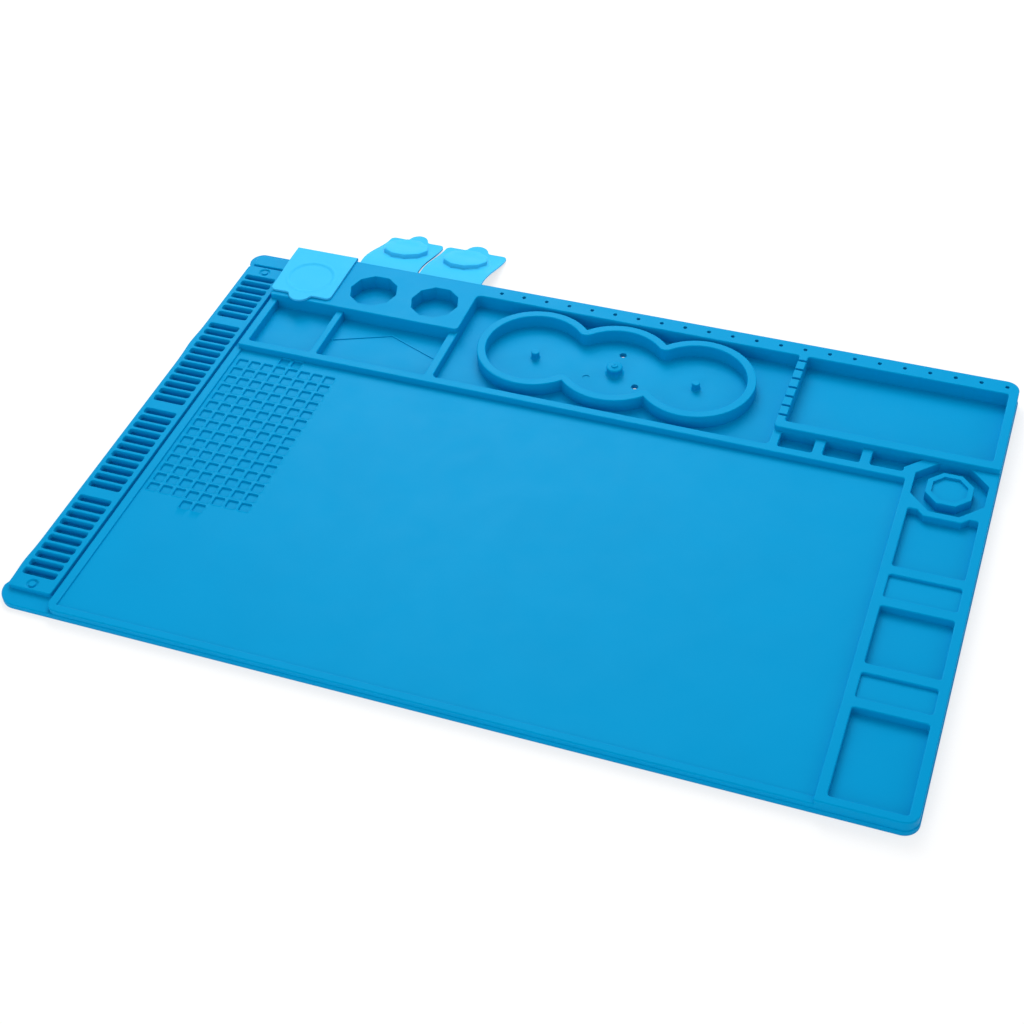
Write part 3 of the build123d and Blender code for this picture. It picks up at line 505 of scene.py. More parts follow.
@dataclass
class Relief:
    """A flat moulded plate with equal rounded recesses, as a grid of heights over x and y.

    The height falls from the top over a quarter circle at each recess's mouth and at the plate's free
    outline, then down a wall with a little draft to the recess's floor, or right through the plate.

    Attributes:
        node: CAD node that the plate stands for.
        low_mm: its left, front and foot.
        high_mm: its right, back and top.
        columns_mm: x of the recesses.
        rows_mm: y of the recesses.
        half_mm: half the size of a recess along X and Y.
        corner_mm: its corners' radius.
        depth_mm: its depth; the plate's thickness makes it a hole.
        extra_rows: how many rows at each end have only the extra columns.
        extra_columns: indices of those columns.
        edge_mm: rounding of the recess's mouth.
        outline_mm: rounding of the plate's own top edge, 0 where it lies against a neighbour.
        ends_mm: radius of the plate's left and right corners.
        lip_mm: height of the burr that the mould left round each recess.
        rings_mm: x, y, radius and depth of round recesses.
        dips_mm: x, y, radius and depth of soft round dips in the top.
        fine_mm: grid step round the rings.
        coarse_mm: widest grid step.
    """

    node: str
    low_mm: Point
    high_mm: Point
    columns_mm: np.ndarray
    rows_mm: np.ndarray
    half_mm: tuple[float, float]
    corner_mm: float
    depth_mm: float
    extra_rows: int = 0
    extra_columns: tuple[int, ...] = ()
    edge_mm: float = 0.3
    outline_mm: float = 0.0
    ends_mm: tuple[float, float] = (0.0, 0.0)
    lip_mm: float = 0.0
    rings_mm: tuple[tuple[float, float, float, float], ...] = ()
    dips_mm: tuple[tuple[float, float, float, float], ...] = ()
    fine_mm: float = 0.35
    coarse_mm: float = 8.0

    DRAFT_MM = 0.12                 # run of a recess's wall from its mouth to its floor
    LIP_MM = (0.1, 0.22)            # the burr's distance from the mouth's rounding, and its width
    RING_WALL_MM = (-0.25, 0.35)    # where a ring's wall starts and ends, inwards from its radius
    RING_REACH_MM = 4.0             # how far the close grid lines reach from a ring's middle
    DIP_REACH = 2.2                 # the same for a dip, in its radii
    END_FADE_MM = 6.0               # length over which the rounded ends fade out
    LINE_GAP_MM = 0.02              # no grid line lies closer to an end than this
    FAR_MM = 99.0                   # distance to a recess that isn't there
    SHARP_DEG = 60.0

    def lines(self, axis: int, centres: np.ndarray) -> np.ndarray:
        """Grid lines along one axis: close together at edges, corners and rings, else coarse.

        The dips get lines of their own along x only. Along y the recesses' lines are close enough.

        Args:
            axis: 0 for x, 1 for y.
            centres: middles of the recesses along it.

        Returns:
            The sorted places of the lines.
        """
        low, high = self.low_mm[axis], self.high_mm[axis]
        edge, corner, half = self.edge_mm, self.corner_mm, self.half_mm[axis]
        mouth = np.array([edge + 0.5, edge + 0.2, edge, 0.55 * edge, 0.2 * edge, 0.0, -self.DRAFT_MM])
        inner = -corner * np.array([0.3, 0.55, 0.8, 1.0])
        from_edge = half + np.concatenate([mouth, inner])
        near = (centres[:, None] + np.concatenate([-from_edge, from_edge])[None, :]).ravel()
        rim = self.outline_mm * np.array([0.08, 0.3, 0.6, 1.0])
        arc = max(self.ends_mm) * (1 - np.cos(np.radians(np.arange(15, 91, 15))))
        ends = np.concatenate([low + rim, high - rim, low + arc, high - arc])
        steps = np.linspace(low, high, 2 + int((high - low) / self.coarse_mm))
        span = np.arange(-1.0, 1.01, self.fine_mm / self.RING_REACH_MM)
        rings = [ring[axis] + span * self.RING_REACH_MM for ring in self.rings_mm]
        dips = [dip[axis] + span * self.DIP_REACH * dip[2] for dip in self.dips_mm] if axis == 0 else []
        found = np.round(np.concatenate([near, ends, steps, *rings, *dips]), 2)
        inside = found[(found > low + self.LINE_GAP_MM) & (found < high - self.LINE_GAP_MM)]
        return np.unique(np.concatenate([[low, high], inside]))

    def away(self, x: np.ndarray, y: np.ndarray) -> np.ndarray:
        """Distance to the nearest recess's outline, negative inside.

        With a = |x - cx| - (w - r) and b = |y - cy| - (l - r), it is
        √(max(a, 0)² + max(b, 0)²) + min(max(a, b), 0) - r.

        Args:
            x: places from left to right, in millimetres.
            y: places from front to back.

        Returns:
            The distance of each place.
        """
        column = np.abs(x[..., None] - self.columns_mm).argmin(axis=-1)
        row = np.abs(y[..., None] - self.rows_mm).argmin(axis=-1)
        a = np.abs(x - self.columns_mm[column]) - (self.half_mm[0] - self.corner_mm)
        b = np.abs(y - self.rows_mm[row]) - (self.half_mm[1] - self.corner_mm)
        outside = np.hypot(np.clip(a, 0, None), np.clip(b, 0, None))
        distance = outside + np.clip(np.maximum(a, b), None, 0) - self.corner_mm
        last = len(self.rows_mm) - self.extra_rows
        missing = ((row < self.extra_rows) | (row >= last)) & ~np.isin(column, self.extra_columns)
        return np.where(missing, self.FAR_MM, distance)

    def quarter(self, radius: float, distance: np.ndarray) -> np.ndarray:
        """Drop of a quarter circle: r - √(r² - (r - d)²) for d from 0 to r."""
        gap = np.clip(radius - distance, 0, radius)
        return radius - np.sqrt(radius**2 - gap**2)

    def height(self, x: np.ndarray, y: np.ndarray) -> np.ndarray:
        """Height of the surface.

        Args:
            x: places from left to right, in millimetres.
            y: places from front to back.

        Returns:
            z at each place.
        """
        away = self.away(x, y)
        drop = self.quarter(self.edge_mm, away)
        wall = smoothstep(0.0, self.DRAFT_MM, -away)
        drop = drop + (self.depth_mm - drop) * np.where(away < 0, wall, 0.0)
        lip_off, lip_width = self.LIP_MM
        drop = drop - self.lip_mm * np.exp(-(((away - self.edge_mm - lip_off) / lip_width) ** 2))
        for ring_x, ring_y, radius, depth in self.rings_mm:
            inside = radius - np.hypot(x - ring_x, y - ring_y)
            drop = drop + depth * smoothstep(*self.RING_WALL_MM, inside)
        for dip_x, dip_y, radius, depth in self.dips_mm:
            drop = drop + depth * np.exp(-(((x - dip_x) ** 2 + (y - dip_y) ** 2) / radius**2))
        if self.outline_mm:
            to_edge = np.minimum(
                np.minimum(x - self.low_mm[0], self.high_mm[0] - x),
                np.minimum(y - self.low_mm[1], self.high_mm[1] - y),
            )
            drop = np.maximum(drop, self.quarter(self.outline_mm, to_edge))
        return np.maximum(self.high_mm[2] - drop, self.low_mm[2])

    def outline(self, x: np.ndarray, y: np.ndarray) -> np.ndarray:
        """Round the plate's corners.

        Rows near the front and back move inwards by r - √(r² - (r - dx)²), which fades out over
        END_FADE_MM.

        Args:
            x: places from left to right, in millimetres.
            y: places from front to back.

        Returns:
            The new y of each place.
        """
        bow = sum(
            self.quarter(radius, distance)
            for radius, distance in zip(self.ends_mm, (x - self.low_mm[0], self.high_mm[0] - x))
            if radius
        )
        front = 1 - np.clip((y - self.low_mm[1]) / self.END_FADE_MM, 0, 1)
        back = 1 - np.clip((self.high_mm[1] - y) / self.END_FADE_MM, 0, 1)
        return y + bow * (front - back)

    def build(self, shop: Workshop) -> bpy.types.Object:
        """Make the plate: its top grid, its underside and the skirt between them.

        The underside is the same grid where recesses go right through, and else a single face.

        Args:
            shop: workshop with the finishes.

        Returns:
            The finished piece.
        """
        y, x = np.meshgrid(self.lines(1, self.rows_mm), self.lines(0, self.columns_mm), indexing="ij")
        z = self.height(x, y)
        top = np.stack([x, self.outline(x, y), z], axis=-1)
        crept = CreptEdge()
        if self.node in crept.fade_mm:
            top = crept.creep(self.node, top)
        foot = top.copy()
        foot[..., 2] = self.low_mm[2]
        rows, columns = z.shape
        index = np.arange(rows * columns).reshape(rows, columns)
        corners = (index[:-1, :-1], index[:-1, 1:], index[1:, 1:], index[1:, :-1])
        quads = np.stack([corner.ravel() for corner in corners], axis=1)
        through = (z.ravel()[quads] <= self.low_mm[2] + WELD_MM).all(axis=1)
        quads = quads[~through]
        loop = np.concatenate([index[0, :-1], index[:-1, -1], index[-1, :0:-1], index[:0:-1, 0]])
        under = rows * columns
        skirt = np.stack([np.roll(loop, -1), loop, loop + under, np.roll(loop, -1) + under], axis=1)
        faces = quads.tolist() + skirt.tolist()
        if through.any():
            faces += (quads[:, ::-1] + under).tolist()
        else:
            faces.append((loop[::-1] + under).tolist())
        name = self.node + "_skin"
        mesh = bpy.data.meshes.new(name)
        points = np.concatenate([top.reshape(-1, 3), foot.reshape(-1, 3)]) * MM
        mesh.from_pydata(points.tolist(), [], faces)
        solid = bmesh.new()
        solid.from_mesh(mesh)
        bmesh.ops.remove_doubles(solid, verts=solid.verts, dist=WELD_MM * MM)
        bmesh.ops.delete(solid, geom=[v for v in solid.verts if not v.link_faces], context="VERTS")
        solid.to_mesh(mesh)
        solid.free()
        piece = shop.piece(name, mesh, Rubber.BODY)
        mesh.set_sharp_from_angle(angle=math.radians(self.SHARP_DEG))
        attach(piece, "mat")
        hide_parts(self.node)
        return piece


@dataclass
class LivingLid:
    """A pot's soft lid with its hinge web, one thin strip of rubber from the block to the tab.

    A point of the lid has u across it, v along it from the hinge line and h over its middle
    surface on the plug's side.

    Attributes:
        side: which pot's lid it is.
        open_at_rest: the lid hangs open over the mat's back edge, or lies closed on its pot.
        width_mm: across the lid.
        reach_mm: hinge line to the free edge.
        thickness_mm: of the rubber.
        hinge_mm: y and z of the hinge line.
        root_mm: how far the strip starts before the hinge line, inside the block.
        loop_mm: middle radius of the closed web round the hinge line.
        tab_radius_mm: of the tab's round end.
        tab_reach_mm: tab's tip beyond the free edge.
        tab_fillet_mm: of the hollow on each side of the tab.
        corner_mm: radius of the free corners.
        fall_mm: how far the open lid drops from the block to the bench.
        run_mm: length over which it drops.
        plug_v_mm: hinge line to the plug's centre.
        plug_radius_mm: plug's corners.
        plug_height_mm: plug over the lid's face.
        sink_mm: depth of the mark that the plug leaves on the lid's other face.
        left_flare_mm: how far its left side lies to the right at the hinge and at the free edge.
        right_flare_mm: the same for its right side.
        centre_x_mm: x of the lid's middle, that of its plug's node.
    """

    side: Side
    open_at_rest: bool
    width_mm: float = 39.5
    reach_mm: float = 43.5
    thickness_mm: float = 1.2
    hinge_mm: tuple[float, float] = (159.3, 11.9)
    root_mm: float = 1.6
    loop_mm: float = 0.7
    tab_radius_mm: float = 7.2
    tab_reach_mm: float = 6.2
    tab_fillet_mm: float = 2.5
    corner_mm: float = 3.0
    fall_mm: float = 10.3
    run_mm: float = 46.0
    plug_v_mm: float = 26.1
    plug_radius_mm: float = 14.25
    plug_height_mm: float = 2.8
    sink_mm: float = 0.5
    left_flare_mm: tuple[float, float] = (0.0, 0.0)
    right_flare_mm: tuple[float, float] = (0.0, 0.0)
    centre_x_mm: float = field(default=0.0, init=False)

    PLUG_SIDES = 10
    PLUG_STEP_DEG = 3.0
    PLUG_ROOT_MM = 0.3              # how far the plug starts inside the lid
    SHORTENING = 0.98               # the drop makes the open lid reach this share of its length
    FLARE_START_MM = 4.0            # where the flare starts, from the hinge line
    MARK_MM = (12.6, 14.6)          # radii where the sink mark's floor and slope end
    MARK_RING_MM = (14.7, 0.7, 0.13)    # radius, width and height of the ring round it
    WAVE_MM = (0.12, 6.1, 7.7)      # height of the rubber's waves, and their lengths over 2π
    WAVE_PHASE = 0.7                # where they start across the lid
    WAVE_RAMP_MM = (4.0, 14.0)      # where they start and reach full height along it
    TAB_LINES_MM = (0.0, 6.3, 0.55)     # the grid's lines across the tab: start, end and step
    HOLLOW_LINES_MM = (6.5, 9.6, 12)    # across the hollow beside it: first, last and number
    STRAIGHT_LINES_MM = (10.1, 13)      # from there to the corner: first and number
    CORNER_LINES_DEG = (18, 36, 54, 72, 84, 90)     # round the corner
    BEND_ROWS, BEND_END_MM = 22, 3.0    # rows of the grid up to this place behind the hinge line
    LID_ROWS = 75                   # rows from there to the free edge
    EDGE_MM, EDGE_DEG, EDGE_SEGMENTS = 0.4, 50.0, 3
    OPEN_BEND_MM = (-0.8, 2.2)      # where the open web starts and ends to bend, along Y
    CLOSED_BEND_MM = (0.11, 0.87)   # the same for the closed web, along its bend's direction
    CLOSED_BEND_DEG = 15.0          # how far that direction leans to the front

    def free_edge(self, u: np.ndarray) -> np.ndarray:
        """Distance from the hinge line to the free edge at each place across the lid.

        The tab is a circle of tab_radius about (0, c), joined by fillets of tab_fillet, and the
        corners are circles of corner: v = c + √(R² - u²), then v = e + f - √(f² - (g - |u|)²), then
        e, and in the corners v = e - r + √(r² - (|u| - (w - r))²).

        Args:
            u: places across the lid, in millimetres.

        Returns:
            The edge's v at each place.
        """
        x = np.abs(u)
        big, small, corner = self.tab_radius_mm, self.tab_fillet_mm, self.corner_mm
        centre = self.reach_mm + self.tab_reach_mm - big
        rise = self.reach_mm + small - centre
        fillet_x = math.sqrt((big + small) ** 2 - rise**2)
        join_x = fillet_x * big / (big + small)
        edge = np.full_like(x, self.reach_mm)
        tab = centre + np.sqrt(np.clip(big**2 - x**2, 0, None))
        hollow = self.reach_mm + small - np.sqrt(np.clip(small**2 - (fillet_x - x) ** 2, 0, None))
        edge = np.where(x < fillet_x, hollow, edge)
        edge = np.where(x < join_x, tab, edge)
        start = self.width_mm / 2 - corner
        round_off = corner - np.sqrt(np.clip(corner**2 - np.clip(x - start, 0, corner) ** 2, 0, None))
        return edge - round_off

    def path(self, v: np.ndarray) -> tuple[np.ndarray, np.ndarray, np.ndarray]:
        """Middle line of the strip, seen from the side.

        Open, it leaves the block level and falls in an S to the bench: z = -fall·s(v / run) with s
        the smoothstep. Closed, it goes round the hinge line in a half circle and back over the pot.

        Args:
            v: places along the strip from the hinge line; negative is in the block or the loop.

        Returns:
            y, z and the angle of the line, which is that of its tangent over level.
        """
        hinge_y, hinge_z = self.hinge_mm
        if self.open_at_rest:
            q = np.clip(v / self.run_mm, 0, 1)
            y = hinge_y + np.where(v > 0, v * self.SHORTENING, v)
            z = hinge_z - self.loop_mm - self.fall_mm * q * q * (3 - 2 * q)
            return y, z, -np.arctan(self.fall_mm / self.run_mm * 6 * q * (1 - q))
        half_turn = math.pi * self.loop_mm
        angle = np.clip((v + half_turn) / self.loop_mm, 0, math.pi)
        y = hinge_y + self.loop_mm * np.sin(angle) + np.minimum(v + half_turn, 0) - np.maximum(v, 0)
        z = hinge_z - self.loop_mm * np.cos(angle)
        return y, z, angle

    def place(self, u: np.ndarray, v: np.ndarray, h: np.ndarray) -> np.ndarray:
        """Points of the lid in the part's frame: the path's point at v, moved h along its normal."""
        y, z, angle = self.path(v)
        return np.stack([self.centre_x_mm + u, y - h * np.sin(angle), z + h * np.cos(angle)], axis=-1)

    def flare(self, u: np.ndarray, v: np.ndarray) -> np.ndarray:
        """Flare the lid's sides: u + L(v)·(w - u) / 2w + R(v)·(w + u) / 2w.

        Args:
            u: across the lid.
            v: along it.

        Returns:
            The new u of each place.
        """
        rise, half = smoothstep(self.FLARE_START_MM, self.reach_mm, v), self.width_mm / 2
        left = self.left_flare_mm[0] + (self.left_flare_mm[1] - self.left_flare_mm[0]) * rise
        right = self.right_flare_mm[0] + (self.right_flare_mm[1] - self.right_flare_mm[0]) * rise
        return u + left * (half - u) / (2 * half) + right * (half + u) / (2 * half)

    def mark(self, u: np.ndarray, v: np.ndarray) -> np.ndarray:
        """Depth of the plug's sink mark: sink·(1 - s(r)) with a low ring round it at the plug's rim.

        Args:
            u: across the lid.
            v: along it.

        Returns:
            The depth at each place, below 0 on the ring.
        """
        r = np.hypot(u, v - self.plug_v_mm)
        radius, width, height = self.MARK_RING_MM
        ring = height * np.exp(-(((r - radius) / width) ** 2))
        return self.sink_mm * (1 - smoothstep(*self.MARK_MM, r)) - ring

    def strip(self) -> np.ndarray:
        """Grid of the lid's middle surface, from inside the block to the free edge and the tab.

        A row's points share their way from the hinge line to the free edge: v = m + t·(e(u) - m).

        Returns:
            Rows × columns × 3 points in the part's frame, in millimetres.
        """
        start = -self.root_mm if self.open_at_rest else -self.root_mm - math.pi * self.loop_mm
        side = self.width_mm / 2 - self.corner_mm
        tab, hollow = np.arange(*self.TAB_LINES_MM), np.linspace(*self.HOLLOW_LINES_MM)
        straight_start, number = self.STRAIGHT_LINES_MM
        straight = np.linspace(straight_start, side, number)
        corner = side + self.corner_mm * np.sin(np.radians(self.CORNER_LINES_DEG))
        across = np.concatenate([tab, hollow, straight, corner])
        across = np.concatenate([-across[:0:-1], across])
        near = np.linspace(start, self.BEND_END_MM, self.BEND_ROWS)
        u = np.tile(across, (len(near), 1))
        v = np.tile(near[:, None], (1, len(across)))
        share = np.linspace(0, 1, self.LID_ROWS + 1)[1:, None]
        far_v = near[-1] + share * (self.free_edge(across)[None, :] - near[-1])
        u = np.concatenate([u, np.tile(across, (len(share), 1))])
        v = np.concatenate([v, far_v])
        height, across_mm, along_mm = self.WAVE_MM
        wave = height * np.sin(u / across_mm + self.WAVE_PHASE) * np.sin(v / along_mm)
        wave = wave * smoothstep(*self.WAVE_RAMP_MM, v)
        return self.place(self.flare(u, v), v, self.mark(u, v) + wave)

    def build(self, shop: Workshop) -> list[bpy.types.Object]:
        """Make the lid with its web and the plug, and hang the plug on the lid's body.

        Args:
            shop: workshop with the finishes.

        Returns:
            The lid and its plug.
        """
        side = self.side.value
        low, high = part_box(f"{side}_plug")
        self.centre_x_mm = (low.x + high.x) / 2 / MM
        body = f"{side}_lid_body"
        name = f"{side}_lid_skin"
        skin = shop.piece(name, grid_mesh(name, self.strip()), Rubber.LID)
        wall = skin.modifiers.new("wall", "SOLIDIFY")
        wall.thickness = self.thickness_mm * MM
        wall.offset = 0
        wall.use_even_offset = True
        bevel = skin.modifiers.new("soft_edges", "BEVEL")
        bevel.limit_method = "ANGLE"
        bevel.angle_limit = math.radians(self.EDGE_DEG)
        bevel.width = self.EDGE_MM * MM
        bevel.segments = self.EDGE_SEGMENTS
        shop.settle(skin)
        if self.open_at_rest:
            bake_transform(skin)
        else:
            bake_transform(skin)
        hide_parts(f"{side}_lid", f"{side}_hinge_web")
        plug = self.plug(shop)
        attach(plug, body)
        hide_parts(f"{side}_plug")
        return [skin, plug]

    def plug(self, shop: Workshop) -> bpy.types.Object:
        """Make the ten-sided plug: its outline is r = a / cos(φ) with φ from the side's middle.

        Its profile runs from the middle of the foot up the side, over a rounded rim and back to the
        middle of the top: each ring is the outline less the inset, at the height.

        Args:
            shop: workshop with the finishes.

        Returns:
            The plug.
        """
        turn = np.radians(np.arange(0, 360, self.PLUG_STEP_DEG))
        side = 2 * math.pi / self.PLUG_SIDES
        phi = np.abs(turn % side - side / 2)
        apothem = self.plug_radius_mm * math.cos(side / 2)
        outline = apothem / np.cos(phi)
        foot = self.thickness_mm / 2 - self.PLUG_ROOT_MM
        top = self.thickness_mm / 2 + self.plug_height_mm
        inset = np.array([self.plug_radius_mm, 0, 0, 0, 0.1, 0.35, 0.7, 6.0, self.plug_radius_mm])
        height = np.array([foot, foot, foot + 0.5, top - 0.7, top - 0.3, top - 0.08, top, top, top])
        r = np.clip(outline[None, :] - inset[:, None], 0.0, None)
        r[0], r[-1] = 0.0, 0.0
        u, v = r * np.cos(turn), self.plug_v_mm + r * np.sin(turn)
        points = self.place(u, v, np.tile(height[:, None], (1, len(turn))))
        mesh = grid_mesh(f"{self.side.value}_plug_skin", points, ring=True)
        weld(mesh)
        return shop.piece(mesh.name, mesh, Rubber.LID)


@dataclass
class Turned:
    """Round pegs of one shape, standing on the dish floor.

    Attributes:
        node: CAD node that they stand for.
        centres_mm: x and y of each.
        profile_mm: radius and height of the outline's points, from the middle of the foot over the
            side to the middle of the top.
        notch_deg: direction and half angle of a notch in the nub on top.
        notch_mm: inner and outer radius of the notch, and the height that it is cut down to.
    """

    node: str
    centres_mm: tuple[tuple[float, float], ...]
    profile_mm: tuple[tuple[float, float], ...]
    notch_deg: tuple[float, float] = (0.0, 0.0)
    notch_mm: tuple[float, float, float] = (0.0, 0.0, 0.0)

    SIDES = 48
    SHARP_DEG = 40.0

    def build(self, shop: Workshop) -> bpy.types.Object:
        """Turn the profile about each centre: x = cx + r·cos φ, y = cy + r·sin φ.

        Args:
            shop: workshop with the finishes.

        Returns:
            The finished piece.
        """
        turn = np.linspace(0, 2 * math.pi, self.SIDES, endpoint=False)
        r, z = (np.array(c)[:, None] * np.ones(self.SIDES) for c in zip(*self.profile_mm))
        direction, half = np.radians(self.notch_deg)
        inner, outer, cut = self.notch_mm
        notched = (np.cos(turn - direction) > math.cos(half)) & (r >= inner) & (r <= outer)
        z = np.where(notched & (half > 0), np.minimum(z, cut), z)
        grids = [
            np.stack([x + r * np.cos(turn), y + r * np.sin(turn), z], axis=-1) for x, y in self.centres_mm
        ]
        mesh = grid_mesh(self.node + "_skin", *grids, ring=True)
        weld(mesh)
        mesh.set_sharp_from_angle(angle=math.radians(self.SHARP_DEG))
        piece = shop.piece(mesh.name, mesh, Rubber.BODY)
        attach(piece, "mat")
        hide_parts(self.node)
        return piece


@dataclass
class Mat:
    """The moulded body of the mat: every node but the lids, remade as reliefs and turned pegs with
    rounded edges, and as merged copies of the rest.

    Attributes:
        raised: nodes of the raised frame, which is one run of rubber.
        slot_groups: how many tool slots each group has, from the front.
        slot_pitch_mm: between slots of a group.
        slot_group_mm: from a group's last slot to the next one's first.
        first_slot_mm: y of the first slot.
        slot_mm: a slot's half length, half width and corner radius.
        pegs_mm: y of the rack's pegs.
        peg_groove_mm: radius and depth of the recess round a peg.
        pocket_pitch_mm: between screw pockets, both ways.
        pocket_counts: columns and rows of pockets.
        first_pocket_mm: x and y of the first pocket.
        pocket_mm: a pocket's half width, corner radius and depth.
        back_dips_mm: x of the dips over the ejector pins of the back row.
        front_dips_mm: the same for the front row.
        dip_rows_mm: y of the two rows.
        dip_mm: a dip's radius and depth.
        pin_foot_mm: radius of a dish pin's foot.
    """

    raised: tuple[str, ...] = (
        "pot_block",
        "back_rail",
        "notched_divider",
        "tray_front_wall",
        "tray_side_wall",
        "front_rail",
        "bay_outer_wall",
        "bay_divider",
        "dish_divider",
        "bit_slot_dividers",
        "octagon_frame",
        "column_inner_wall",
        "column_outer_wall",
        "column_crossbars",
        "panel_rim",
    )
    slot_groups: tuple[int, ...] = (10, 11, 12, 7)
    slot_pitch_mm: float = 6.44
    slot_group_mm: float = 12.0
    first_slot_mm: float = -136.6
    slot_mm: tuple[float, float, float] = (9.8, 2.25, 1.5)
    pegs_mm: tuple[float, float] = (-144.4, 138.4)
    peg_groove_mm: tuple[float, float] = (3.2, 0.8)
    pocket_pitch_mm: float = 8.0
    pocket_counts: tuple[int, int] = (8, 17)
    first_pocket_mm: tuple[float, float] = (-198.25, 53.55)
    pocket_mm: tuple[float, float, float] = (2.95, 0.8, 0.9)
    back_dips_mm: tuple[float, ...] = (-128.7, -96.4, -64.7, -32.8, -1.1)
    front_dips_mm: tuple[float, ...] = (-62.4, -30.9)
    dip_rows_mm: tuple[float, float] = (47.6, 16.4)
    dip_mm: tuple[float, float] = (3.2, 0.1)
    pin_foot_mm: float = 3.3

    def rack(self) -> Relief:
        """Lay out the tool rack with its slots and the rings round its pegs.

        Returns:
            The rack's plate.
        """
        low, high = (tuple(c / MM for c in corner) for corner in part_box("tool_rack"))
        counts = np.array(self.slot_groups)
        lengths = (counts[:-1] - 1) * self.slot_pitch_mm + self.slot_group_mm
        starts = np.concatenate([[0], np.cumsum(lengths)])
        rows = np.concatenate([s + np.arange(n) * self.slot_pitch_mm for s, n in zip(starts, counts)])
        middle = (low[0] + high[0]) / 2
        half_length, half_width, corner = self.slot_mm
        rings = tuple((middle, y, *self.peg_groove_mm) for y in self.pegs_mm)
        return Relief(
            "tool_rack", low, high, np.array([middle]), self.first_slot_mm + rows,
            (half_length, half_width), corner, high[2] - low[2], edge_mm=0.4, outline_mm=0.5,
            ends_mm=(3.0, 1.5), lip_mm=0.06, rings_mm=rings,
        )

    def panel(self) -> Relief:
        """Lay out the work surface with its pockets and the faint dips over the ejector pins.

        Returns:
            The surface's plate.
        """
        low, high = (tuple(c / MM for c in corner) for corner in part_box("work_panel"))
        columns = self.first_pocket_mm[0] + self.pocket_pitch_mm * np.arange(self.pocket_counts[0])
        rows = self.first_pocket_mm[1] + self.pocket_pitch_mm * (1 - np.arange(self.pocket_counts[1]))
        half, corner, depth = self.pocket_mm
        back, front = self.dip_rows_mm
        dips = [(x, back, *self.dip_mm) for x in self.back_dips_mm]
        dips += [(x, front, *self.dip_mm) for x in self.front_dips_mm]
        return Relief(
            "work_panel", low, high, columns, rows, (half, half), corner, depth, extra_rows=1,
            extra_columns=(3, 4), edge_mm=0.3, lip_mm=0.2, dips_mm=tuple(dips), fine_mm=0.7,
        )

    def pins(self) -> Turned:
        """Lay out the two small pins of the dish, each with a flared foot.

        Returns:
            The pins.
        """
        low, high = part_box("dish_pins")
        y, foot = (low.y + high.y) / 2 / MM, self.pin_foot_mm
        centres = ((low.x / MM + foot, y), (high.x / MM - foot, y))
        profile = (
            (0.0, 2.9), (foot, 2.9), (2.9, 3.1), (2.6, 3.4), (2.48, 3.9), (2.42, 4.6), (2.4, 5.5),
            (2.4, 7.2), (2.36, 7.42), (2.2, 7.6), (2.0, 7.68), (1.75, 7.7), (0.0, 7.7),
        )
        return Turned("dish_pins", centres, profile)

    def post(self) -> Turned:
        """Lay out the middle post of the dish, a capped stub with a notched nub on top.

        Returns:
            The post.
        """
        low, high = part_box("dish_post")
        centre = ((low.x + high.x) / 2 / MM, (low.y + high.y) / 2 / MM)
        profile = (
            (0.0, 2.9), (5.9, 2.9), (5.3, 3.25), (4.8, 3.8), (4.5, 4.6), (4.4, 5.6), (4.45, 6.3),
            (4.75, 6.6), (4.8, 7.0), (4.75, 7.6), (4.45, 8.0), (3.9, 8.2), (2.2, 8.25), (1.95, 8.35),
            (1.9, 8.8), (1.65, 9.0), (1.0, 9.0), (0.75, 8.8), (0.0, 8.75),
        )
        return Turned("dish_post", (centre,), profile, (130.0, 24.0), (0.75, 1.97, 8.3))

    def build(self, shop: Workshop) -> list[bpy.types.Object]:
        """Remake every body node as a piece: reliefs, turned pegs and merged copies.

        Args:
            shop: workshop with the finishes.

        Returns:
            The finished pieces.
        """
        forms = [self.rack(), self.panel(), self.pins(), self.post()]
        pieces = [form.build(shop) for form in forms]
        made = {form.node for form in forms} | set(self.raised)
        pieces.append(Moulding("raised_frame", self.raised).build(shop))
        for name in sorted(set(shop.nodes) - made):
            if not name.endswith(THIN_NODES):
                pieces.append(Moulding(name, (name,)).build(shop))
        return pieces


@dataclass(frozen=True)
class SoftBox:
    """A square soft light of the studio.

    Attributes:
        name: the light's name.
        place_m: where it is.
        aim_m: point that it faces.
        size_m: its side.
        power_w: its power.
    """

    name: str
    place_m: Point
    aim_m: Point
    size_m: float
    power_w: float

    def build(self) -> None:
        """Add the light."""
        data = bpy.data.lights.new(self.name, "AREA")
        data.shape = "SQUARE"
        data.size = self.size_m
        data.energy = self.power_w
        light = bpy.data.objects.new(self.name, data)
        light.location = self.place_m
        toward = Vector(self.aim_m) - Vector(self.place_m)
        light.rotation_euler = toward.to_track_quat("-Z", "Y").to_euler()
        bpy.context.scene.collection.objects.link(light)


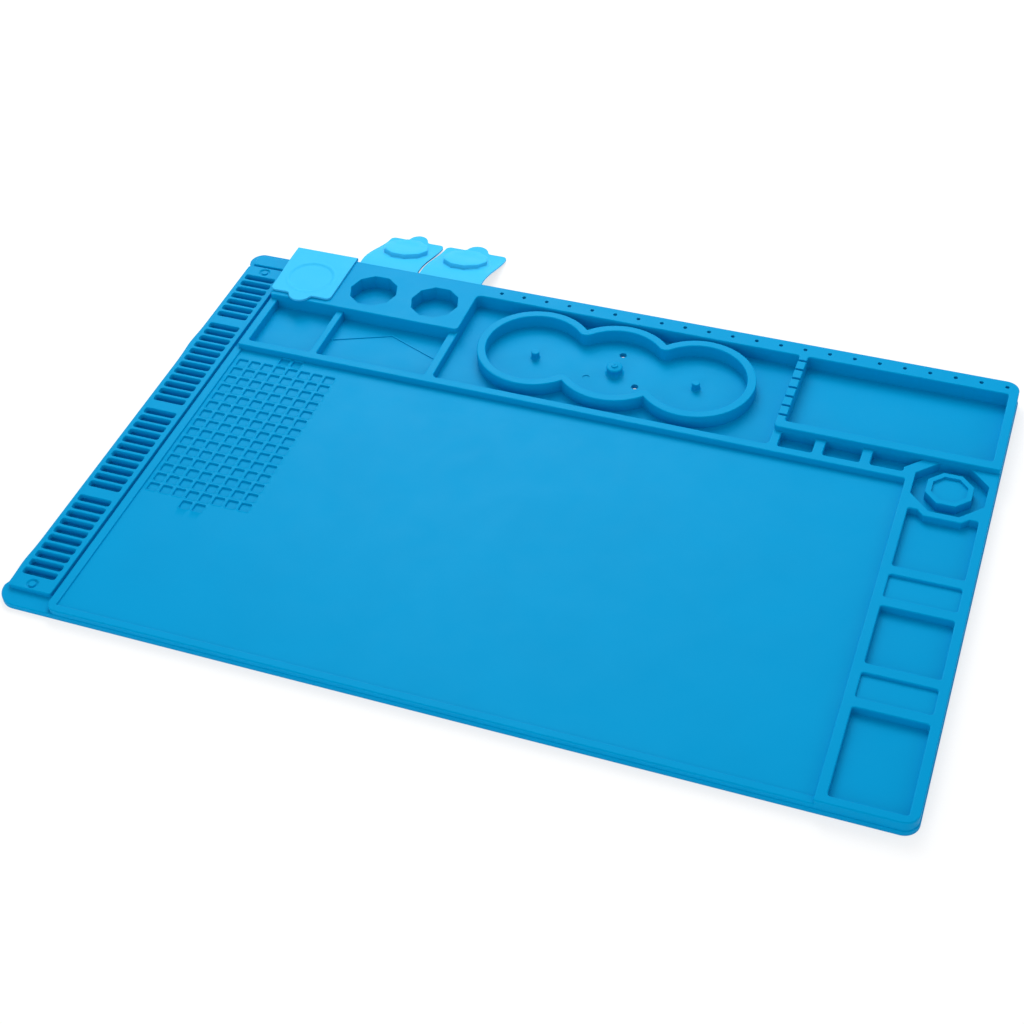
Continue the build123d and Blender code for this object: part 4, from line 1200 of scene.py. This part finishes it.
@dataclass
class Studio:
    """Pale bench, white surround, soft lights and the camera.

    Attributes:
        bench: colour of the bench.
        bench_glow: how far the bench is plain white to the camera; the rest shows the shadow.
        bench_size_m: its side.
        bench_gap_mm: how far it lies under the mat.
        surround: colour of the world as a light.
        surround_strength: its brightness.
        camera_m: where the camera is.
        camera_deg: how it is turned.
        lens_mm: its focal length.
        sensor_mm: width of its sensor.
        near_m: distance from which it sees.
        lights: the soft boxes.
    """

    bench: str = "#ffffff"
    bench_glow: float = 0.7
    bench_size_m: float = 30.0
    bench_gap_mm: float = 0.2
    surround: str = "#f4f8fc"
    surround_strength: float = 0.66
    camera_m: Point = (0.25003, -0.65317, 0.66376)
    camera_deg: Point = (45.9913, 2.2049, 19.5925)
    lens_mm: float = 62.263
    sensor_mm: float = 36.0
    near_m: float = 0.01
    lights: tuple[SoftBox, ...] = (
        SoftBox("key", (-0.66, 1.24, 1.0), (-0.1, 0.0, 0.0), 0.7, 9.0),
        SoftBox("top", (-0.15, 0.75, 0.9), (0.0, 0.05, 0.0), 0.7, 6.5),
        SoftBox("side", (2.4, 0.9, 1.1), (0.0, 0.0, 0.0), 1.2, 8.0),
        SoftBox("front", (-0.4, -1.8, 0.6), (0.0, 0.0, 0.0), 1.2, 10.5),
    )

    def camera(self) -> None:
        """Add the camera at the usual viewing angle, from the front right and above."""
        data = bpy.data.cameras.new("camera")
        data.lens = self.lens_mm
        data.sensor_width = self.sensor_mm
        data.clip_start = self.near_m
        camera = bpy.data.objects.new("camera", data)
        camera.location = self.camera_m
        camera.rotation_euler = [math.radians(angle) for angle in self.camera_deg]
        bpy.context.scene.collection.objects.link(camera)
        bpy.context.scene.camera = camera

    def world(self) -> None:
        """Make the world white to the camera and softer as a light."""
        world = bpy.data.worlds.new("surround")
        bpy.context.scene.world = world
        nodes = NodeTree(world)
        seen = nodes.add("Background", Color=(1.0, 1.0, 1.0, 1.0), Strength=1.0)
        lamp = nodes.add(
            "Background", Color=(*linear(self.surround), 1.0), Strength=self.surround_strength
        )
        camera_ray = nodes.add("LightPath").outputs["Is Camera Ray"]
        mix = nodes.add("MixShader", in_0=camera_ray, in_1=lamp.outputs[0], in_2=seen.outputs[0])
        nodes.add("OutputWorld", Surface=mix.outputs[0])

    def floor(self) -> None:
        """Add the pale bench top that the mat lies on: white, and with a soft shadow."""
        under = (0, 0, -self.bench_gap_mm * MM)
        bpy.ops.mesh.primitive_plane_add(size=self.bench_size_m, location=under)
        floor = bpy.context.object
        floor.name = "bench"
        material = bpy.data.materials.new("white_laminate")
        nodes = NodeTree(material)
        sheet = nodes.add("BsdfPrincipled", Base_Color=(*linear(self.bench), 1.0), Roughness=0.9)
        sheet.inputs["Specular IOR Level"].default_value = 0.0
        glow = nodes.add("Emission", Color=(1.0, 1.0, 1.0, 1.0), Strength=1.0)
        camera_ray = nodes.add("LightPath").outputs["Is Camera Ray"]
        share = nodes.add("Math", {"operation": "MULTIPLY"}, in_0=camera_ray, in_1=self.bench_glow)
        mix = nodes.add(
            "MixShader", in_0=share.outputs[0], in_1=sheet.outputs[0], in_2=glow.outputs[0]
        )
        nodes.add("OutputMaterial", Surface=mix.outputs[0])
        floor.data.materials.append(material)

    def build(self) -> None:
        """Add everything round the object."""
        bpy.context.scene.view_settings.view_transform = "Standard"
        self.camera()
        self.world()
        self.floor()
        for light in self.lights:
            light.build()


def main() -> None:
    """Load the frame, build the mat and its lids, dress them, and set up the studio."""
    logging.basicConfig(level=logging.INFO, format="%(name)s: %(message)s")
    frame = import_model()
    shop = Workshop(frame["nodes"])
    pieces = Mat().build(shop)
    lids = (
        LivingLid(Side.LEFT, False, left_flare_mm=(-2.6, -1.5), right_flare_mm=(-1.6, -1.5)),
        LivingLid(Side.MIDDLE, True, left_flare_mm=(0.2, 3.0), right_flare_mm=(-0.9, -0.6)),
        LivingLid(Side.RIGHT, True, left_flare_mm=(0.0, 1.0), right_flare_mm=(1.0, 2.1)),
    )
    for lid in lids:
        pieces += lid.build(shop)
    for piece in pieces:
        LOG.info("%s: %d faces", piece.name, len(piece.data.polygons))
    Studio().build()


if __name__ == "__main__":
    main()
